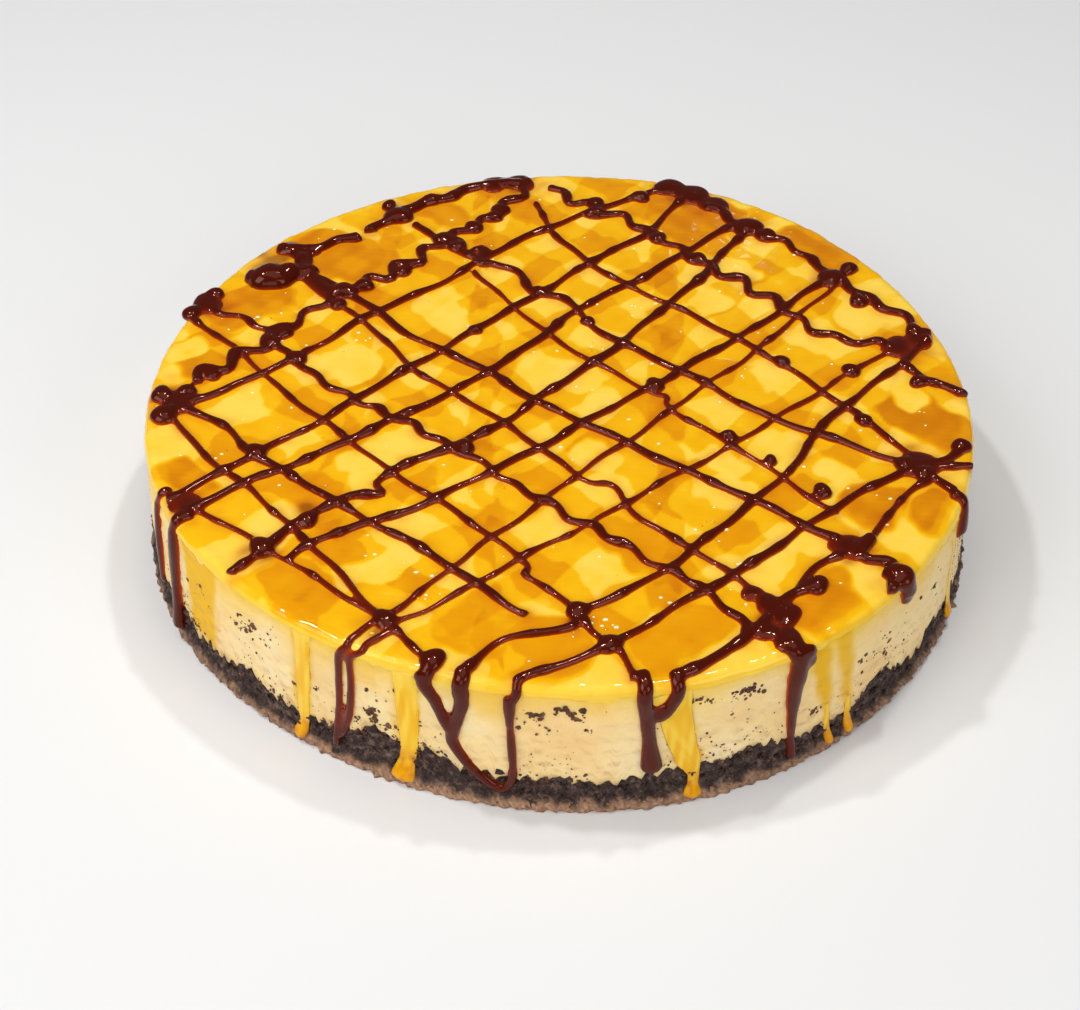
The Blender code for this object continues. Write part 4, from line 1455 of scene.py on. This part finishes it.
def crumbs_mesh(name, spots, hand, flat):
    """A crumb at each azimuth, height, distance from the middle and size, all in one mesh."""
    whole = bmesh.new()
    batch = bmesh.new()
    for number, (azimuth, z, radius, size) in enumerate(spots):
        if number % BATCH == 0:
            join_in(whole, batch)
            batch = bmesh.new()
        add_crumb(batch, azimuth, z, radius, size, hand, flat)
    join_in(whole, batch)
    return to_mesh(whole, name)


trial = bmesh.new()
add_crumb(trial, 0.0, 5.0, RADIUS, 1.0, random.Random(1), 0.8)
print("one crumb has", len(trial.faces), "faces")
trial.free()

# %% [markdown]
# ## Loose grains on the crust
# Most grains are fine and a few are coarse, as in crushed cookies. They cover the whole wall and its foot,
# and keep flat faces, which catch the light as broken edges do.

# %% Loose grains
GRAINS = 5200
FINE_GRAINS = 0.84


def grain_spots(hand):
    """Where each grain lies: azimuth, height, distance from the middle and size."""
    for _ in range(GRAINS):
        azimuth = hand.uniform(-180, 180)
        rim = float(crust_rim(azimuth) + ragged(azimuth))
        z = hand.uniform(0.5, rim + 0.3)
        size = hand.uniform(0.5, 1.3) if hand.random() < FINE_GRAINS else hand.uniform(1.3, 2.9)
        radius = float(side(azimuth, z) + foot_flare(azimuth, z)) - 0.7
        yield azimuth, max(z, 0.6 * size), radius, size


def make_crust_grains():
    hand = random.Random(21)
    mesh = crumbs_mesh("crust_grains", grain_spots(hand), hand, 0.8)
    x, y, z = places(mesh).T
    shown = 0.45 + 0.4 * near_front(azimuth_of(x, y))
    put_values(mesh, "pressed", np.clip((3.8 - z) / 1.4, 0, 1) * shown)
    piece = keep(mesh, "crust_grains", CRUMB)
    piece.data.shade_flat()


make_crust_grains()

# %% [markdown]
# ## Where crumbs are caught in the side
# Loose crumbs stuck to the soft cream in clusters, with single broken pieces between them. The clusters and
# the large pieces that show are listed one by one, and the far side gets clusters of the same kind by chance.

# %% Where the side's crumbs lie
# Clusters of crumbs: azimuth, height, spread along the side, spread in height, how many
CLUSTERS = (
    (-47, 27, 3.0, 2.4, 26), (-43.5, 30, 2.4, 2.0, 22), (-53, 27, 1.6, 3.0, 12), (-24.5, 23, 1.0, 0.8, 6),
    (0, 34, 2.4, 1.2, 14), (-2.5, 30, 2.6, 2.2, 16), (5.5, 31, 1.0, 1.6, 8), (17.5, 34, 1.4, 0.8, 9),
    (23, 33, 2.4, 0.9, 14), (-10, 28, 1.2, 1.4, 7), (33, 16, 1.4, 1.6, 9), (44.5, 24, 3.2, 2.6, 18),
    (58, 28, 3.0, 3.0, 12), (-28, 15, 2.2, 2.4, 16), (-20, 17, 2.5, 2.0, 14), (72, 25, 3.0, 3.0, 12),
    (-31, 13, 3.5, 4.0, 20), (-24, 16, 3.0, 3.0, 16), (-17.5, 15, 2.0, 4.0, 16), (-47, 12, 2.0, 3.0, 12),
    (-40, 11, 2.5, 2.5, 8), (4, 11, 3.0, 2.0, 8), (-4, 12, 3.0, 2.0, 8), (21, 14, 3.0, 2.0, 10),
)
# Larger broken pieces: azimuth, height, size
BIG_CRUMBS = (
    (21.3, 33.6, 1.8), (22.1, 34.0, 2.2), (22.9, 34.4, 2.6), (23.7, 33.8, 2.8), (24.5, 33.2, 2.2),
    (16.2, 35.5, 2.0), (16.9, 35.4, 1.4), (18.5, 33.0, 1.4), (19.3, 33.3, 1.2), (5.7, 31.6, 2.2),
    (5.8, 30.6, 1.5), (3.6, 28.0, 2.0), (4.3, 27.5, 1.6), (3.0, 28.4, 1.2), (0.3, 35.0, 2.4),
    (0.9, 34.0, 1.8), (1.8, 32.2, 2.0), (2.3, 31.4, 1.2), (-24.2, 22.0, 3.8), (-23.8, 22.6, 3.0),
    (-25.1, 20.9, 2.4), (-25, 28.5, 1.5), (-20.8, 31.5, 1.7), (-36, 19.0, 2.2), (-35.6, 18.0, 1.6),
    (-33.0, 21.0, 2.0), (-34.0, 20.0, 1.4), (-32.3, 22.0, 1.4), (-55.0, 28.3, 2.6), (-54.2, 27.5, 2.0),
    (-55.8, 27.6, 1.4), (-50.2, 26.5, 1.8), (-45.0, 29.2, 2.0), (-43.8, 30.2, 1.6), (-44.4, 27.6, 2.2),
    (-45.6, 26.4, 2.0), (-46.6, 25.0, 1.5), (-43.6, 28.6, 1.4), (-46.4, 27.8, 1.8), (-10, 21.8, 1.8),
    (-8.2, 34.5, 1.3), (-3.0, 32.6, 2.2), (-2.5, 31.6, 1.6), (-4, 33.4, 1.3), (41.3, 24.9, 2.4),
    (41.6, 28.4, 1.3), (45.2, 27.9, 1.5), (46.3, 27.3, 1.2), (49.6, 25.7, 1.7), (50.4, 25.4, 1.2),
    (58.6, 26.4, 1.8), (59.4, 21.8, 1.8), (33.8, 22.4, 2.0), (34.3, 21.6, 1.4), (95, 27, 2.4),
    (110, 30, 2.0), (131, 24, 2.6), (158, 31, 2.0), (170, 22, 2.4), (-140, 26, 2.2), (-117, 30, 2.0),
    (-92, 24, 2.6), (-80, 28, 2.0),
)
FAR_CLUSTERS = 16
SPECKS = 1500
RIM_CRUMBS = 700
print(len(CLUSTERS), "clusters and", len(BIG_CRUMBS), "large pieces")

# %% [markdown]
# ## Crumbs in the side
# Specks grow rarer with height above the crust, crumbs line the ragged edge of the cream, and each large
# piece is a few crumbs pressed together.

# %% Crumbs in the side
def side_crumb_spots(hand):
    """Azimuth, height and size of every crumb caught in the side."""
    spots = [(hand.gauss(a, spread / 1.6), hand.gauss(z, tall / 1.3), 0.4 + min(2.0, hand.expovariate(1.7)))
             for a, z, spread, tall, count in CLUSTERS for _ in range(count)]
    for _ in range(FAR_CLUSTERS):
        middle = hand.uniform(80, 290)
        level = hand.uniform(16, 33)
        spots += [(hand.gauss(middle, 1.4), hand.gauss(level, 1.5), hand.uniform(0.5, 1.6))
                  for _ in range(12)]
    for _ in range(SPECKS):
        azimuth = hand.uniform(-180, 180)
        low = float(crust_rim(azimuth))
        size = 0.3 + hand.expovariate(1 / 0.25)
        spots.append((azimuth, low + 0.5 + hand.expovariate(1 / 8.0), min(size, 1.6)))
    for _ in range(RIM_CRUMBS):
        azimuth = hand.uniform(-180, 180)
        low = float(crust_rim(azimuth) + ragged(azimuth))
        spots.append((azimuth, low + hand.uniform(-0.3, 1.4), hand.uniform(0.4, 1.3)))
    for azimuth, z, size in BIG_CRUMBS:
        for _ in range(5):
            near = 0.3 * size
            spots.append((azimuth + math.degrees(hand.gauss(0, near) / RADIUS), z + hand.gauss(0, 0.7 * near),
                          size * hand.uniform(0.4, 0.8)))
    return spots


def make_side_crumbs():
    hand = random.Random(33)
    spots = [(azimuth, z, float(side(azimuth, z)) - 0.1 - 0.12 * size, size)
             for azimuth, z, size in side_crumb_spots(hand) if z < HEIGHT - 6]
    mesh = crumbs_mesh("side_crumbs", spots, hand, 0.45)
    put_values(mesh, "pressed", np.zeros(len(mesh.vertices)))
    keep(mesh, "side_crumbs", SPECK)


make_side_crumbs()

# %% [markdown]
# ## Bubbles in the caramel
# Tiny air bubbles rest in the caramel, a third of them in loose groups where the glints gather. Each is a
# ball of few faces, because there are hundreds. About two in three are painted near-white as glints, a
# painted highlight; the rest are clear caramel and only catch the light.

# %% Bubbles
BUBBLES = 260
# Middles of the loose groups of bubbles, where the painted glints gather
GLINT_SPOTS = (
    (-36, -86), (-30, -76), (42, -58), (38, -60), (47, -72), (12, -95), (88, -20), (52, 70), (-90, 32),
    (-96, -30), (-56, 24), (8, 22), (24, 42), (66, 30), (-28, -4), (-66, -22),
)


def bubble_spots(hand):
    """Where each bubble rests, and its radius."""
    spots = []
    for number in range(BUBBLES):
        if number % 3 == 0:
            middle_x, middle_y = GLINT_SPOTS[number // 3 % len(GLINT_SPOTS)]
            spots.append((hand.gauss(middle_x, 2.6), hand.gauss(middle_y, 1.8), hand.uniform(0.25, 0.6)))
        else:
            turn = hand.uniform(0, math.tau)
            reach = RADIUS * 0.94 * math.sqrt(hand.random())
            spots.append((reach * math.sin(turn), -reach * math.cos(turn), hand.uniform(0.18, 0.5)))
    return spots


def make_bubbles():
    whole = bmesh.new()
    hand = random.Random(44)
    painted_glint = []
    for x, y, size in bubble_spots(hand):
        ball = bmesh.new()
        z = HEIGHT + GLAZE_DEPTH * (float(sauce_depth(np.array(x), np.array(y))) - USUAL_DEPTH)
        long = hand.uniform(1.0, 1.7)
        for vert in bmesh.ops.create_uvsphere(ball, u_segments=8, v_segments=5, radius=1.0)["verts"]:
            away = Vector((vert.co.x * size * long, vert.co.y * size, vert.co.z * 0.6 * size))
            vert.co = (Vector((x, y, z)) + away) * MM
        # Two in three bubbles are marked for the near-white painted glint, a painted highlight
        painted_glint += [float(hand.random() < 0.65)] * len(ball.verts)
        join_in(whole, ball)
    mesh = to_mesh(whole, "caramel_bubbles")
    x, y, z = places(mesh).T
    put_values(mesh, "sauce_depth", sauce_depth(x, y))
    put_values(mesh, "cocoa", np.zeros(len(x)))
    put_values(mesh, "painted_glint", painted_glint)
    keep(mesh, "caramel_bubbles", CARAMEL)


make_bubbles()

# %% [markdown]
# ## The floor
# The cake stands on a plain pale floor, large enough that its edge is far away in every view.

# %% Floor
FLOOR_HALF = 3.0


def make_floor():
    bm = bmesh.new()
    bmesh.ops.create_grid(bm, x_segments=1, y_segments=1, size=FLOOR_HALF)
    mesh = to_mesh(bm, "floor")
    paint, _, shader = new_material("floor_paint", Roughness=0.9)
    shader.inputs["Base Color"].default_value = (0.82, 0.82, 0.82, 1)
    mesh.materials.append(paint)
    floor = bpy.data.objects.new("floor", mesh)
    bpy.context.scene.collection.objects.link(floor)


make_floor()
print("floor made,", 2 * FLOOR_HALF, "m across")

# %% [markdown]
# ## Light
# A broad soft light from the upper left does most of the work, one above opens the top, and two fills lift
# the right and the front of the side. A flat glossy top mirrors whatever stands behind it, so the two small
# lamps that make crisp points on the wet chocolate hang high, and the far one is only a faint sparkle.

# %% Light
# Each light: its name, its place, the height it looks at, its size and its power
LIGHTS = (
    ("broad_light", (-0.75, -0.6, 0.8), 0.03, 0.8, 7.5),
    ("top_light", (0.1, -0.1, 1.3), 0.03, 1.0, 3),
    ("right_fill", (0.9, -0.9, 0.7), 0.02, 0.7, 4.5),
    ("front_fill", (-0.1, -1.2, 0.4), 0.02, 0.6, 1.6),
    ("left_lamp", (-0.45, 0.12, 1.0), 0.04, 0.07, 2.8),
    ("right_lamp", (0.25, 0.32, 1.1), 0.04, 0.07, 2.8),
    ("far_lamp", (0.16, 0.91, 0.6), 0.04, 0.015, 0.008),
)
ROOM_LIGHT = 0.12


def add_light(name, place, aim, size, power):
    """A square area light that looks at a height on the cake's axis."""
    data = bpy.data.lights.new(name, "AREA")
    data.shape = "SQUARE"
    data.size = size
    data.energy = power
    lamp = bpy.data.objects.new(name, data)
    lamp.location = place
    lamp.rotation_euler = (Vector(place) - Vector((0, 0, aim))).to_track_quat("Z", "Y").to_euler()
    bpy.context.scene.collection.objects.link(lamp)


for light in LIGHTS:
    add_light(*light)
world = bpy.data.worlds.new("pale_room")
world.use_nodes = True
background = world.node_tree.nodes["Background"]
background.inputs["Color"].default_value = (1, 1, 1, 1)
background.inputs["Strength"].default_value = ROOM_LIGHT
bpy.context.scene.world = world
bpy.context.scene.view_settings.view_transform = "Standard"
print(len(LIGHTS), "lights")
